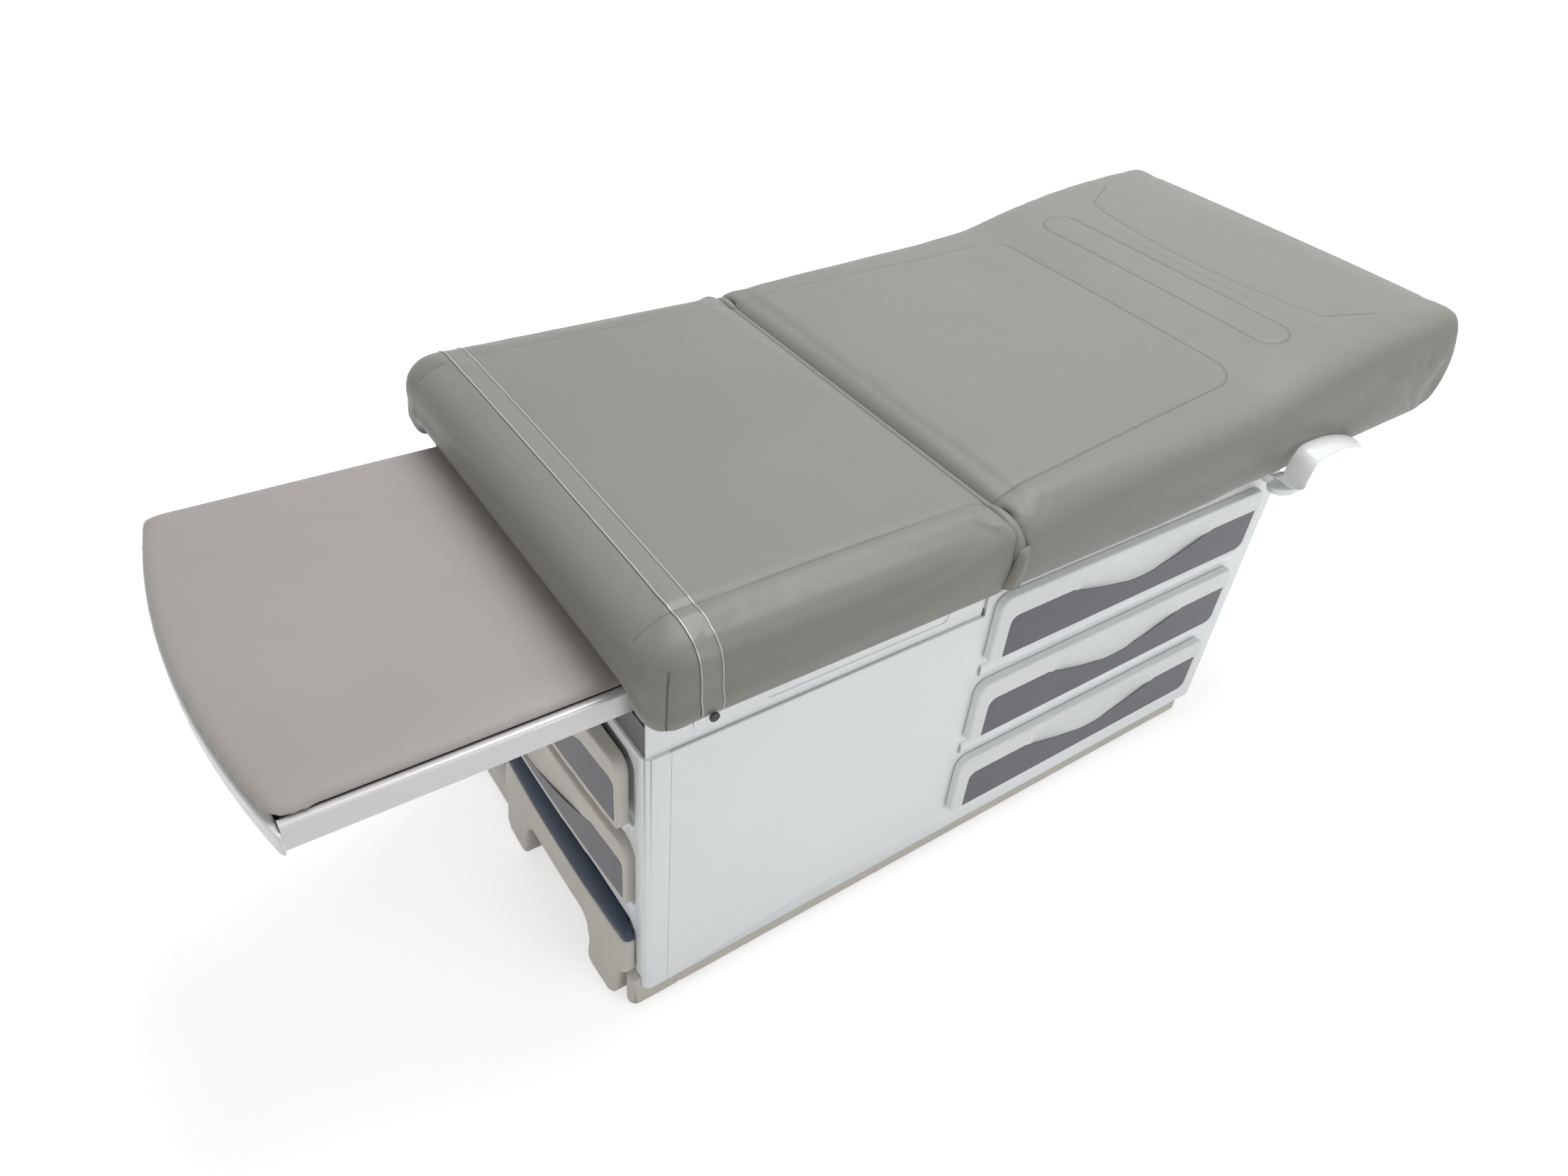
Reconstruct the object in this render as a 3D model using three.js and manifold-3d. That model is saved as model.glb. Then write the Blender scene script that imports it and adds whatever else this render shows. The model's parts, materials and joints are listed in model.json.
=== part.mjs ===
// Examination table with a box base, side and foot drawers, a pull-out step,
// a sliding leg rest and a tilting back section.
// Millimetres. The foot end faces -X, the drawer side faces -Y, the floor is z = 0.

import * as THREE from 'three';
import { mergeVertices } from 'three/addons/utils/BufferGeometryUtils.js';
import Module from 'manifold-3d';

const wasm = await Module();
wasm.setup();

// Fits and overruns
const seatGap = 0.3;        // between two pieces that rest on each other
const slideGap = 1.2;       // between a sliding piece and its guide
const revealGap = 2;        // around a drawer or step in its opening
const cutOver = 3;          // how far a cutting tool runs past a face
const weldTolerance = 0.0001;

// Cabinet; its top steps up behind splitX
const cabinet = {
  width: 604, length: 1141, bottom: 48, footTop: 502, headTop: 545, splitX: 505,
  cornerRadius: 12, sheet: 4, flange: 24, wrap: 34, headWrap: 26, frameDepth: 14, bayDepth: 6,
  bayMargin: 6,
};
const plinth = {
  low: 8, inset: 10, barWidth: 38, footBarX: 50, radius: 14, hornProud: 14, hornTop: 66, hornRadius: 12,
};
const levelFoot = {
  radius: 20, height: 7.7, stemRadius: 5, stemTop: 26, insetX: 90, insetY: 24, taperShare: 0.8,
};

// Upholstered top
const cushion = {
  halfWidth: 354, bulge: 2, bulgeRise: 14, top: 694, crown: 4, underside: 607, skirtLow: 588,
  shoulder: 32, hem: 10, recessHalfWidth: 300, recessStep: 1, cornerPull: 30, edgePull: 9,
};
const channel = { seatHalf: 290, headHalf: 265, halfWidth: 5, depth: 1.8, crossHalf: 242 };
const seat = { footX: -22, rollRadius: 44, rollLow: 604, tuck: 17.6, cornerDrop: 7, cornerReach: 60 };
const back = {
  headX: 1418, headBulge: 28, headTop: 779, headRound: 12, skirtLow: 605, skirtRiseFrom: 760,
  skirtRiseTo: 1214, riseX: 615, riseTop: 703, slopeX: 957, slopeTop: 721, ramp1X: 1072, ramp1Top: 745,
  ramp2X: 1186, ramp2Top: 765, flatX: 1297, flatTop: 777, panelEndX: 981, bandFootX: 1063,
  bandHeadX: 1121, pillowX: 1163, pillowSweep: 26,
};
const pan = { thickness: 6, halfWidth: 296, creaseInset: 5, footInset: 62, headInset: 60 };

// Pivot of the back section, at the bottom of the crease between the cushions
const pivot = {
  x: 478, drop: 14, travelDeg: 75, spareDeg: 2, creaseGap: 1.5, creaseRound: 12, pinRadius: 3,
  pinHead: 1.5, pinHeadRadius: 4.8, earRadius: 7, earThick: 5, earY: 309, armStep: 6.2, tabReach: 38,
  slotSpare: 3,
};
const pivotZ = cushion.top - pivot.drop;

// Chassis between the cabinet and the top
const chassis = {
  sheet: 3, headX: 1000, lap: 13, deckHigh: 517, flange: 22, frontX: 4, frontTop: 549,
  coverFootX: 63, coverHeadX: 135, coverLow: 515, coverThick: 1.5, coverRadius: 12,
  recessFootX: 161, recessHeadX: 441, recessLow: 516, recessHigh: 596, recessDepth: 1.2,
};

// Leg rest that slides out under the seat
const legRest = {
  halfWidth: 270, cornerX: -353, bow: 32, low: 554, high: 587, channelWidth: 14, channelWall: 1.5,
  lipRadius: 5, rearX: 150, floorLift: 7, floorThick: 3, capFront: 6, capSide: 6, capWall: 14,
  padHalfWidth: 258, padTop: 595, padCrown: 2, padRadius: 42, padInset: 9, padRound: 5, padRearX: 70,
};
const legRail = { thick: 3, ledgeReach: 12, rise: 30, footX: 8, headX: 520 };

// Side drawers, lowest first
const sideDrawer = {
  count: 3, footX: 520, headX: 1087, low: 104, height: 114, pitch: 157.4, proud: 14, radius: 20,
  lowRadius: 10,
  bevel: 3, insetFoot: 26, insetHead: 12, insetLow: 3, insetHeight: 72, insetThick: 1, insetRadius: 14,
  waveHeadward: 14, waveHalf: 153, waveDrop: 33, scoopHalf: 146, scoopDepth: 10, scoopRim: 5,
  boxInset: 14, boxLow: 9, boxHeight: 76, boxDepth: 450, wall: 3,
};
// Foot drawers, lowest first; ajar is how far each one is left open
const footDrawer = {
  count: 2, halfWidth: 272, low: 210.5, height: 114, pitch: 156, proud: 11, bow: 8, radius: 20, lowRadius: 8,
  insetSide: 8, insetLow: 10.5, insetHeight: 69.5, insetThick: 1, insetRadius: 12, ajar: [0, 9],
  waveHalf: 188, waveDrop: 53, scoopHalf: 180, scoopDepth: 8, scoopRim: 6,
  boxInset: 24, boxLow: 14, boxHeight: 72, boxDepth: 400, wall: 3,
};
// Pull-out step, set toward the drawer side
const step = {
  nearY: -280, farY: 104, low: 74, high: 162, proud: 17, bow: 5, face: 15, cornerRadius: 10, leanDeg: 4.6,
  legInset: 14, legWidth: 79, legLow: 7, legDepth: 46, legRadius: 11, footRadius: 18, archTop: 87,
  archRadius: 30, treadLow: 141, treadDepth: 240, treadThick: 6, treadInset: 22, noseRadius: 20, wall: 4,
  boxLength: 300, sideInset: 12, windowRadius: 12,
};
const rack = { thick: 4, ledge: 3, reach: 14, railRise: 34 };

// Release handles and their cross shaft, under the head end of the back section
const handle = {
  shaftX: 1040, shaftZ: 582, shaftRadius: 5, hubRadius: 9, hubY: 306, hubWidth: 26, lugY: 276,
  lugThick: 8, discX: 1075, discY: 345, discLength: 80, discWidth: 46, discLow: 557, discThick: 12,
  bladeThick: 5, clear: 5, bladeWidth: 38, riseX: 1022, riseZ: 618, peakZ: 650, tipX: 1190,
};
const spring = {
  baseX: 540, baseZ: 550, topX: 860, topZ: 588, tubeRadius: 11, rodRadius: 4.5, neck: 16, tubeEnd: 262,
  boreStart: 56, rodStart: 68, eyeRadius: 8, eyeWidth: 8, boreRadius: 3.5, cheekThick: 3,
  cheekWidth: 22,
};
const paperRod = { x: 1330, z: 552, radius: 6, halfLength: 250, cheekThick: 3, cheekWidth: 26 };
const strap = { x: 50, width: 27, thick: 1, lowZ: 593, snapRadius: 6, snapThick: 2.5, snapRise: 8 };

// Curve of the wave over a grip: 1 is straight, 2 is a parabola
const wavePower = 1.65;

// Facets
const arcSteps = 5;
const smallArcSteps = 3;
const waveSteps = 12;
const roundSides = 16;
const smallSides = 12;

const AXIS = {
  x: new THREE.Vector3(1, 0, 0),
  y: new THREE.Vector3(0, 1, 0),
  z: new THREE.Vector3(0, 0, 1),
  minusY: new THREE.Vector3(0, -1, 0),
};
const halfCabinet = cabinet.width / 2;
const reach = cabinet.length * 2;   // longer than anything on the table
const everywhere = [-reach, reach];

// Solids from geometry, joined and cut
function toSolid(geometry) {
  const bare = geometry.clone();
  bare.deleteAttribute('normal');
  bare.deleteAttribute('uv');
  const merged = mergeVertices(bare, weldTolerance);
  return new wasm.Manifold(new wasm.Mesh({
    numProp: 3,
    vertProperties: new Float32Array(merged.attributes.position.array),
    triVerts: new Uint32Array(merged.index.array),
  }));
}

function toGeometry(solid) {
  const mesh = solid.getMesh();
  const geometry = new THREE.BufferGeometry();
  geometry.setAttribute('position', new THREE.BufferAttribute(new Float32Array(mesh.vertProperties), 3));
  geometry.setIndex(new THREE.BufferAttribute(new Uint32Array(mesh.triVerts), 1));
  geometry.computeVertexNormals();
  return geometry;
}

function join(...geometries) {
  return toGeometry(geometries.map(toSolid).reduce((a, b) => a.add(b)));
}

function cut(geometry, ...tools) {
  return toGeometry(tools.map(toSolid).reduce((a, b) => a.subtract(b), toSolid(geometry)));
}

function common(...geometries) {
  return toGeometry(geometries.map(toSolid).reduce((a, b) => a.intersect(b)));
}

// The same solid on the other side of the centre line, its faces turned to point out
function mirrored(geometry) {
  const flipped = geometry.clone().scale(1, -1, 1);
  const order = Array.from(flipped.index.array);
  for (let i = 0; i < order.length; i += 3) {
    [order[i], order[i + 1]] = [order[i + 1], order[i]];
  }
  flipped.setIndex(order);
  flipped.computeVertexNormals();
  return flipped;
}

// Box between two corners
function block([x0, x1], [y0, y1], [z0, z1]) {
  const box = new THREE.BoxGeometry(x1 - x0, y1 - y0, z1 - z0);
  return box.translate((x0 + x1) / 2, (y0 + y1) / 2, (z0 + z1) / 2);
}

// Rounded rectangle, one radius for the lower corners and one for the upper
function roundedShape(u0, u1, v0, v1, lowRadius, highRadius = lowRadius) {
  const shape = new THREE.Shape();
  shape.moveTo(u0 + lowRadius, v0);
  shape.lineTo(u1 - lowRadius, v0);
  shape.absarc(u1 - lowRadius, v0 + lowRadius, lowRadius, -Math.PI / 2, 0, false);
  shape.lineTo(u1, v1 - highRadius);
  shape.absarc(u1 - highRadius, v1 - highRadius, highRadius, 0, Math.PI / 2, false);
  shape.lineTo(u0 + highRadius, v1);
  shape.absarc(u0 + highRadius, v1 - highRadius, highRadius, Math.PI / 2, Math.PI, false);
  shape.lineTo(u0, v0 + lowRadius);
  shape.absarc(u0 + lowRadius, v0 + lowRadius, lowRadius, Math.PI, Math.PI * 3 / 2, false);
  return shape;
}

function polygon(points) {
  return new THREE.Shape(points.map(([u, v]) => new THREE.Vector2(u, v)));
}

// Extrusions: an X-Y shape grows up, an X-Z shape spans two y values, a Y-Z shape spans two x values
const ontoSide = new THREE.Matrix4().makeBasis(AXIS.x, AXIS.z, AXIS.minusY);
const ontoEnd = new THREE.Matrix4().makeBasis(AXIS.y, AXIS.z, AXIS.x);
function straight(shape, depth, steps) {
  return new THREE.ExtrudeGeometry(shape, { depth, bevelEnabled: false, curveSegments: steps });
}

function extrudeUp(shape, z0, z1, steps = arcSteps) {
  return straight(shape, z1 - z0, steps).translate(0, 0, z0);
}

function extrudeAcross(shape, y0, y1, steps = arcSteps) {
  return straight(shape, y1 - y0, steps).applyMatrix4(ontoSide).translate(0, y1, 0);
}

function extrudeAlong(shape, x0, x1, steps = arcSteps) {
  return straight(shape, x1 - x0, steps).applyMatrix4(ontoEnd).translate(x0, 0, 0);
}

// Round bar along Y, centred on x and z
function barAcross(radius, y0, y1, x, z, sides = roundSides) {
  return new THREE.CylinderGeometry(radius, radius, y1 - y0, sides).translate(x, (y0 + y1) / 2, z);
}

function barUp(radius, z0, z1, x, y, sides = smallSides) {
  return new THREE.CylinderGeometry(radius, radius, z1 - z0, sides)
    .rotateX(Math.PI / 2).translate(x, y, (z0 + z1) / 2);
}

function lengthwise(radius, x0, x1, sides = roundSides) {
  return new THREE.CylinderGeometry(radius, radius, x1 - x0, sides).rotateZ(Math.PI / 2)
    .translate((x0 + x1) / 2, 0, 0);
}

// Flat views of a ring of points, for closing its end
function sideView([x, , z]) {
  return new THREE.Vector2(x, z);
}

function planView([x, y]) {
  return new THREE.Vector2(x, y);
}

// Closed skin through rings of points, all rings alike in count, with flat ends
function loft(rings, flatView) {
  const count = rings[0].length;
  const index = [];
  for (let i = 0; i + 1 < rings.length; i++) {
    for (let j = 0; j < count; j++) {
      const a = i * count + j;
      const b = i * count + (j + 1) % count;
      index.push(a, b, b + count, a, b + count, a + count);
    }
  }
  [[0, -1], [rings.length - 1, 1]].forEach(([r, turn]) => {
    const outline = rings[r].map(flatView);
    const side = turn * Math.sign(THREE.ShapeUtils.area(outline));
    THREE.ShapeUtils.triangulateShape(outline, []).forEach(([a, b, c]) => {
      const same = Math.sign(THREE.ShapeUtils.area([outline[a], outline[b], outline[c]])) === side;
      index.push(...(same ? [a, b, c] : [a, c, b]).map((i) => r * count + i));
    });
  });
  const positions = rings.flat(2);
  const geometry = new THREE.BufferGeometry();
  geometry.setAttribute('position', new THREE.Float32BufferAttribute(positions, 3));
  geometry.setIndex(index);
  geometry.computeVertexNormals();
  return geometry;
}

function smooth(t) {
  const s = THREE.MathUtils.clamp(t, 0, 1);
  return s * s * (3 - 2 * s);
}

function between(t, a, b) {
  return a + (b - a) * t;
}

function countTo(count) {
  return [...Array(count).keys()];
}

// Finishes
const finish = {
  vinyl: { color: 0x8a857e, roughness: 0.48, metalness: 0 },
  padVinyl: { color: 0xa8a49f, roughness: 0.5, metalness: 0 },
  whitePaint: { color: 0xdde3e2, roughness: 0.35, metalness: 0 },
  whiteMoulding: { color: 0xd6d8d4, roughness: 0.45, metalness: 0 },
  warmMoulding: { color: 0xb9b5ac, roughness: 0.5, metalness: 0 },
  greyInset: { color: 0x5b5c60, roughness: 0.4, metalness: 0 },
  darkPaint: { color: 0x55565a, roughness: 0.5, metalness: 0.1 },
  navyRubber: { color: 0x2b3a4e, roughness: 0.55, metalness: 0 },
  silverPaint: { color: 0xc3c3c4, roughness: 0.3, metalness: 0.3 },
  steel: { color: 0x9aa0a4, roughness: 0.3, metalness: 0.9 },
  blackSteel: { color: 0x2c2d2f, roughness: 0.45, metalness: 0.6 },
  clearVinyl: { color: 0xc8c6bd, roughness: 0.15, metalness: 0, transparent: true, opacity: 0.45 },
};

// Ring of bars on four levelling feet, with a rounded horn on each side of the step
const plinthSide = halfCabinet - plinth.inset;
const plinthTop = cabinet.bottom - seatGap;
const levelFootPlaces = [levelFoot.insetX, cabinet.length - plinth.inset - levelFoot.insetY]
  .flatMap((x) => [[x, levelFoot.insetY - plinthSide], [x, plinthSide - levelFoot.insetY]]);

function makePlinth() {
  const headX = cabinet.length - plinth.inset;
  const ring = roundedShape(plinth.footBarX, headX, -plinthSide, plinthSide, plinth.radius);
  ring.holes.push(roundedShape(plinth.footBarX + plinth.barWidth, headX - plinth.barWidth,
    plinth.barWidth - plinthSide, plinthSide - plinth.barWidth, plinth.radius));
  const hornSides = [
    [-plinthSide, step.nearY + step.legInset - slideGap],
    [step.farY - step.legInset + slideGap, plinthSide],
  ];
  const horns = hornSides.map(([y0, y1]) => {
    const plan = roundedShape(-plinth.hornProud, plinth.footBarX + plinth.radius, y0, y1, plinth.hornRadius);
    const nose = roundedShape(-plinth.hornProud, cabinet.wrap, plinth.low, plinth.hornTop, seatGap,
      plinth.hornProud);
    return common(
      extrudeUp(plan, plinth.low, plinth.hornTop, smallArcSteps),
      join(
        cut(extrudeAcross(nose, y0, y1), block([-seatGap, reach], everywhere, [plinthTop, reach])),
        block([0, reach], [y0, y1], [plinth.low, plinthTop]),
      ),
    );
  });
  const holes = levelFootPlaces.map(([x, y]) => (
    barUp(levelFoot.stemRadius + seatGap, -cutOver, levelFoot.stemTop + seatGap, x, y)));
  return cut(join(extrudeUp(ring, plinth.low, plinthTop, smallArcSteps), ...horns), ...holes);
}

function makeLevelFoot() {
  const profile = [
    [0, 0], [levelFoot.radius, 0], [levelFoot.radius, levelFoot.height / 2],
    [levelFoot.radius * levelFoot.taperShare, levelFoot.height],
    [levelFoot.stemRadius, levelFoot.height], [levelFoot.stemRadius, levelFoot.stemTop],
    [0, levelFoot.stemTop],
  ].map(([r, z]) => new THREE.Vector2(r, z));
  return new THREE.LatheGeometry(profile, smallSides).rotateX(Math.PI / 2);
}

function drawerLow(drawer, i) {
  return drawer.low + i * drawer.pitch;
}

// Foot face of the cabinet, wrapped round both corners, open for the foot drawers and the step
function makeFootFrame() {
  const inner = halfCabinet - cabinet.sheet;
  const plan = roundedShape(0, cabinet.wrap * 2, -halfCabinet, halfCabinet, cabinet.cornerRadius);
  const windows = countTo(footDrawer.count).map((i) => {
    const low = drawerLow(footDrawer, i) + footDrawer.boxLow - revealGap;
    const side = footDrawer.halfWidth - footDrawer.boxInset + revealGap;
    return extrudeAlong(roundedShape(-side, side, low, low + footDrawer.boxHeight + revealGap * 2, revealGap),
      -cutOver, cabinet.wrap, smallArcSteps);
  });
  const bays = countTo(footDrawer.count).map((i) => {
    const margin = cabinet.bayMargin;
    const low = drawerLow(footDrawer, i);
    const side = footDrawer.halfWidth + margin;
    return extrudeAlong(roundedShape(-side, side, low - margin, low + footDrawer.height + margin,
      footDrawer.lowRadius + margin, footDrawer.radius + margin), -cutOver, cabinet.bayDepth);
  });
  const stepWindow = roundedShape(step.nearY + step.sideInset - revealGap,
    step.farY - step.sideInset + revealGap, -reach, step.high + revealGap + slideGap, revealGap,
    step.windowRadius);
  return cut(
    extrudeUp(plan, cabinet.bottom, cabinet.footTop),
    block([cabinet.frameDepth, reach], [-inner, inner], everywhere),
    block([cabinet.wrap, reach], everywhere, everywhere),
    extrudeAlong(stepWindow, -cutOver, cabinet.wrap),
    ...windows, ...bays,
  );
}

// Side of the cabinet with a rounded head corner and a flange that sits on the plinth
function makeSidePanel() {
  const footX = cabinet.wrap + seatGap;
  const inner = cabinet.sheet - halfCabinet;
  const plan = roundedShape(footX - cabinet.cornerRadius, cabinet.length, -halfCabinet, halfCabinet,
    cabinet.cornerRadius);
  return cut(
    extrudeUp(plan, cabinet.bottom, cabinet.headTop),
    block([-reach, cabinet.length - cabinet.sheet], [inner, reach], [cabinet.bottom + cabinet.sheet, reach]),
    block([-reach, cabinet.length - cabinet.sheet], [cabinet.flange - halfCabinet, reach], everywhere),
    block(everywhere, [cabinet.headWrap - halfCabinet, reach], everywhere),
    block([-reach, footX], everywhere, everywhere),
    block([-reach, cabinet.splitX], everywhere, [cabinet.footTop, reach]),
  );
}

// Drawer side: three openings with a rounded bead on each rail between them
function makeDrawerSidePanel() {
  const windows = countTo(sideDrawer.count).map((i) => {
    const low = drawerLow(sideDrawer, i) + sideDrawer.boxLow - revealGap;
    return extrudeAcross(roundedShape(
      sideDrawer.footX + sideDrawer.boxInset - revealGap, sideDrawer.headX - sideDrawer.boxInset + revealGap,
      low, low + sideDrawer.boxHeight + revealGap * 2, revealGap,
    ), -halfCabinet - cutOver, cabinet.sheet - halfCabinet + cutOver, smallArcSteps);
  });
  const rail = sideDrawer.pitch - sideDrawer.height;
  const beads = countTo(sideDrawer.count - 1).map((i) => {
    const z = drawerLow(sideDrawer, i) + sideDrawer.height + rail / 2;
    const bead = lengthwise(rail / 4, sideDrawer.footX, sideDrawer.headX, smallSides)
      .scale(1, 1 / 2, 1).translate(0, -halfCabinet, z);
    return cut(bead, block(everywhere, [cabinet.sheet / 2 - halfCabinet, reach], everywhere));
  });
  return join(cut(makeSidePanel(), ...windows), ...beads);
}

function makeHeadPanel() {
  const side = halfCabinet - cabinet.headWrap - seatGap;
  return join(
    block([cabinet.length - cabinet.sheet, cabinet.length], [-side, side], [cabinet.bottom, cabinet.headTop]),
    block([cabinet.length - cabinet.flange, cabinet.length], [-side, side],
      [cabinet.bottom, cabinet.bottom + cabinet.sheet]),
  );
}

// Bulkhead across the cabinet with runners for the side drawers
function makeBulkhead(plateX, towardX) {
  const side = halfCabinet - cabinet.sheet - seatGap;
  const plate = block([plateX, plateX + rack.thick], [-side, side],
    [cabinet.bottom + cabinet.sheet + seatGap, chassis.deckHigh - chassis.sheet - seatGap]);
  const feet = [-1, 1].map((hand) => (
    block([plateX, plateX + rack.thick], [
      hand > 0 ? plinthSide - plinth.barWidth : -side + cabinet.flange,
      hand > 0 ? side - cabinet.flange : plinth.barWidth - plinthSide,
    ], [cabinet.bottom, cabinet.bottom + cabinet.sheet + seatGap + cutOver])));
  const runners = countTo(sideDrawer.count).map((i) => {
    const top = drawerLow(sideDrawer, i) + sideDrawer.boxLow - seatGap;
    const x0 = towardX > 0 ? plateX : plateX - rack.reach;
    return block([x0, x0 + rack.reach + rack.thick], [-side, sideDrawer.boxDepth - halfCabinet],
      [top - rack.ledge, top]);
  });
  return join(plate, ...feet, ...runners);
}

// Side plate of the foot drawer bay, with a runner under each drawer
const bayFootX = cabinet.frameDepth + seatGap;
const bulkheadFootX = sideDrawer.footX + sideDrawer.boxInset - slideGap - rack.thick;
const bulkheadHeadX = sideDrawer.headX - sideDrawer.boxInset + slideGap;
function makeFootRack() {
  const y = footDrawer.halfWidth - footDrawer.boxInset + slideGap;
  const low = step.high + revealGap + slideGap;
  const high = drawerLow(footDrawer, footDrawer.count - 1) + footDrawer.height;
  const headX = bulkheadFootX - seatGap;
  const runners = countTo(footDrawer.count).map((i) => {
    const top = drawerLow(footDrawer, i) + footDrawer.boxLow - seatGap;
    return block([bayFootX, headX], [-y - rack.thick, rack.reach - y], [top - rack.ledge, top]);
  });
  return join(block([bayFootX, headX], [-y - rack.thick, -y], [low, high]), ...runners);
}

// Guide for one side of the step, its ledge behind the step's leg
function makeStepRail(edgeY, hand) {
  const top = step.low - seatGap;
  const headX = bulkheadFootX - seatGap;
  const ledgeX = step.legDepth - step.proud + slideGap;
  const wallY = edgeY + hand * slideGap;
  const outerY = wallY + hand * rack.thick;
  const innerY = edgeY - hand * rack.reach;
  return join(
    block([bayFootX, headX], [Math.min(wallY, outerY), Math.max(wallY, outerY)],
      [top - rack.ledge, top + rack.railRise]),
    block([ledgeX, headX], [Math.min(innerY, outerY), Math.max(innerY, outerY)], [top - rack.ledge, top]),
  );
}

// Chassis: deck, two aprons with inward flanges and moulded covers, and the spring's foot bracket
const apronY = halfCabinet - cabinet.sheet - seatGap;
const apronTop = cushion.underside - seatGap * 2 - pan.thickness;
function makeChassis() {
  const lapX = cabinet.frameDepth + slideGap;
  const deckLow = chassis.deckHigh - chassis.sheet;
  const web = polygon([
    [chassis.frontX, cabinet.footTop + seatGap], [lapX, cabinet.footTop + seatGap],
    [lapX, cabinet.footTop - chassis.lap], [cabinet.splitX - revealGap, cabinet.footTop - chassis.lap],
    [cabinet.splitX - revealGap, deckLow], [chassis.headX, deckLow],
    [chassis.headX, apronTop], [chassis.frontX, apronTop],
  ]);
  const cover = roundedShape(chassis.coverFootX, chassis.coverHeadX, chassis.coverLow,
    chassis.recessHigh, chassis.coverRadius);
  const recess = roundedShape(chassis.recessFootX, chassis.recessHeadX, chassis.recessLow,
    chassis.recessHigh, chassis.coverRadius);
  const apron = join(
    extrudeAcross(web, -apronY, chassis.sheet - apronY),
    block([chassis.frontX, chassis.headX], [-apronY, chassis.flange - apronY],
      [apronTop - chassis.sheet, apronTop]),
    extrudeAcross(cover, -apronY - chassis.coverThick, chassis.sheet / 2 - apronY, smallArcSteps),
  );
  const shaped = cut(apron,
    extrudeAcross(recess, -apronY - cutOver, chassis.recessDepth - apronY, smallArcSteps));
  const cheeks = [-1, 1].map((hand) => {
    const inner = hand * (spring.eyeWidth / 2 + slideGap);
    const outer = inner + hand * spring.cheekThick;
    return block([spring.baseX - spring.cheekWidth / 2, spring.baseX + spring.cheekWidth / 2],
      [Math.min(inner, outer), Math.max(inner, outer)], [deckLow, spring.baseZ + spring.eyeRadius]);
  });
  const pinHalf = spring.eyeWidth / 2 + slideGap + spring.cheekThick / 2;
  return join(
    shaped, mirrored(shaped),
    block([lapX, cabinet.length - cabinet.sheet - seatGap], [-apronY, apronY], [deckLow, chassis.deckHigh]),
    ...cheeks,
    barAcross(spring.boreRadius - seatGap, -pinHalf, pinHalf, spring.baseX, spring.baseZ, smallSides),
  );
}

// Dark sheet that closes the gap above the foot face, folded back at its top
function makeRecessPlate() {
  const side = apronY - chassis.sheet - seatGap;
  return join(
    block([chassis.frontX, chassis.frontX + chassis.sheet], [-side, side],
      [cabinet.footTop + seatGap, chassis.frontTop]),
    block([chassis.frontX, cabinet.frameDepth], [-side, side],
      [chassis.frontTop - chassis.sheet, chassis.frontTop]),
  );
}

// Cushion sections: one ring of points in each plane across the table
const tiltTan = Math.tan(THREE.MathUtils.degToRad((pivot.travelDeg + pivot.spareDeg) / 2));
const shoulderAngles = [0, 30, 55, 75, 90].map(THREE.MathUtils.degToRad);
const crownShares = [0, 0.45, 0.85];
const crownPlaces = crownShares.map((share) => share * channel.crossHalf);
// Along the slope, along the rounding, and down
const creaseShares = [[0, 0, 1], [0.75, 0.1, 0.32], [1, 0.4, 0.07], [1, 1, 0]];

// Half of the stations, from the centre line outward
function stationsOutward() {
  const grooves = [-1, 0, 1].map((side) => ({ groove: true, side, inside: true }));
  const wall = [-1, 1].map((side) => (
    { y: cushion.recessHalfWidth + side * cushion.recessStep / 2, inside: side < 0 }));
  const shoulders = shoulderAngles.map((a) => ({
    y: cushion.halfWidth - cushion.shoulder * (1 - Math.sin(a)),
    drop: cushion.shoulder * (1 - Math.cos(a)),
    lift: cushion.hem * (1 - Math.cos(a)),
    pullShare: 1 - Math.cos(a),
  }));
  const rim = {
    y: cushion.halfWidth + cushion.bulge, drop: cushion.shoulder + cushion.bulgeRise,
    lift: cushion.hem + cushion.bulgeRise, pullShare: 1,
  };
  const inner = crownPlaces.map((y) => ({ y, inside: true, middle: true }));
  return [...inner, ...grooves, ...wall, ...shoulders, rim];
}

function allStations() {
  const half = stationsOutward();
  const near = half.slice(1).reverse().map((station) => ({ ...station, hand: -1 }));
  return [...near, ...half.map((station) => ({ ...station, hand: 1 }))];
}

function crownAt(y) {
  return cushion.crown * (1 - (y / cushion.halfWidth) ** 2);
}

// Crease end of a ring, from the low face up to the top; hand is -1 for the seat and 1 for the back
function creaseEnd(top, faceX, hand) {
  const rise = top - pivotZ;
  const depth = Math.max(rise, pivot.creaseGap * 2);
  return creaseShares.map(([along, round, down]) => [
    faceX + hand * (Math.max(rise, 0) * tiltTan * along + pivot.creaseRound * round), top - depth * down,
  ]);
}

// Turns a ring of [x, z] into points, following the sewn line where the station is part of it
function ringPoints(pairs, station, lineAt, depthAt) {
  return pairs.map(([x, z, top]) => {
    if (!station.groove) {
      const cross = station.middle && top ? depthAt(x) : 0;
      return [x, station.hand * station.y, z - cross];
    }
    const dip = top && station.side === 0 ? channel.depth * (x < lineAt.endX ? 1 : 0) : 0;
    return [x, station.hand * (lineAt(x) + station.side * channel.halfWidth), z - dip];
  });
}

function stationY(station, lineAt, x) {
  return station.groove ? lineAt(x) + station.side * channel.halfWidth : station.y;
}

function seatLine() {
  return channel.seatHalf;
}
seatLine.endX = pivot.x;

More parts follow.
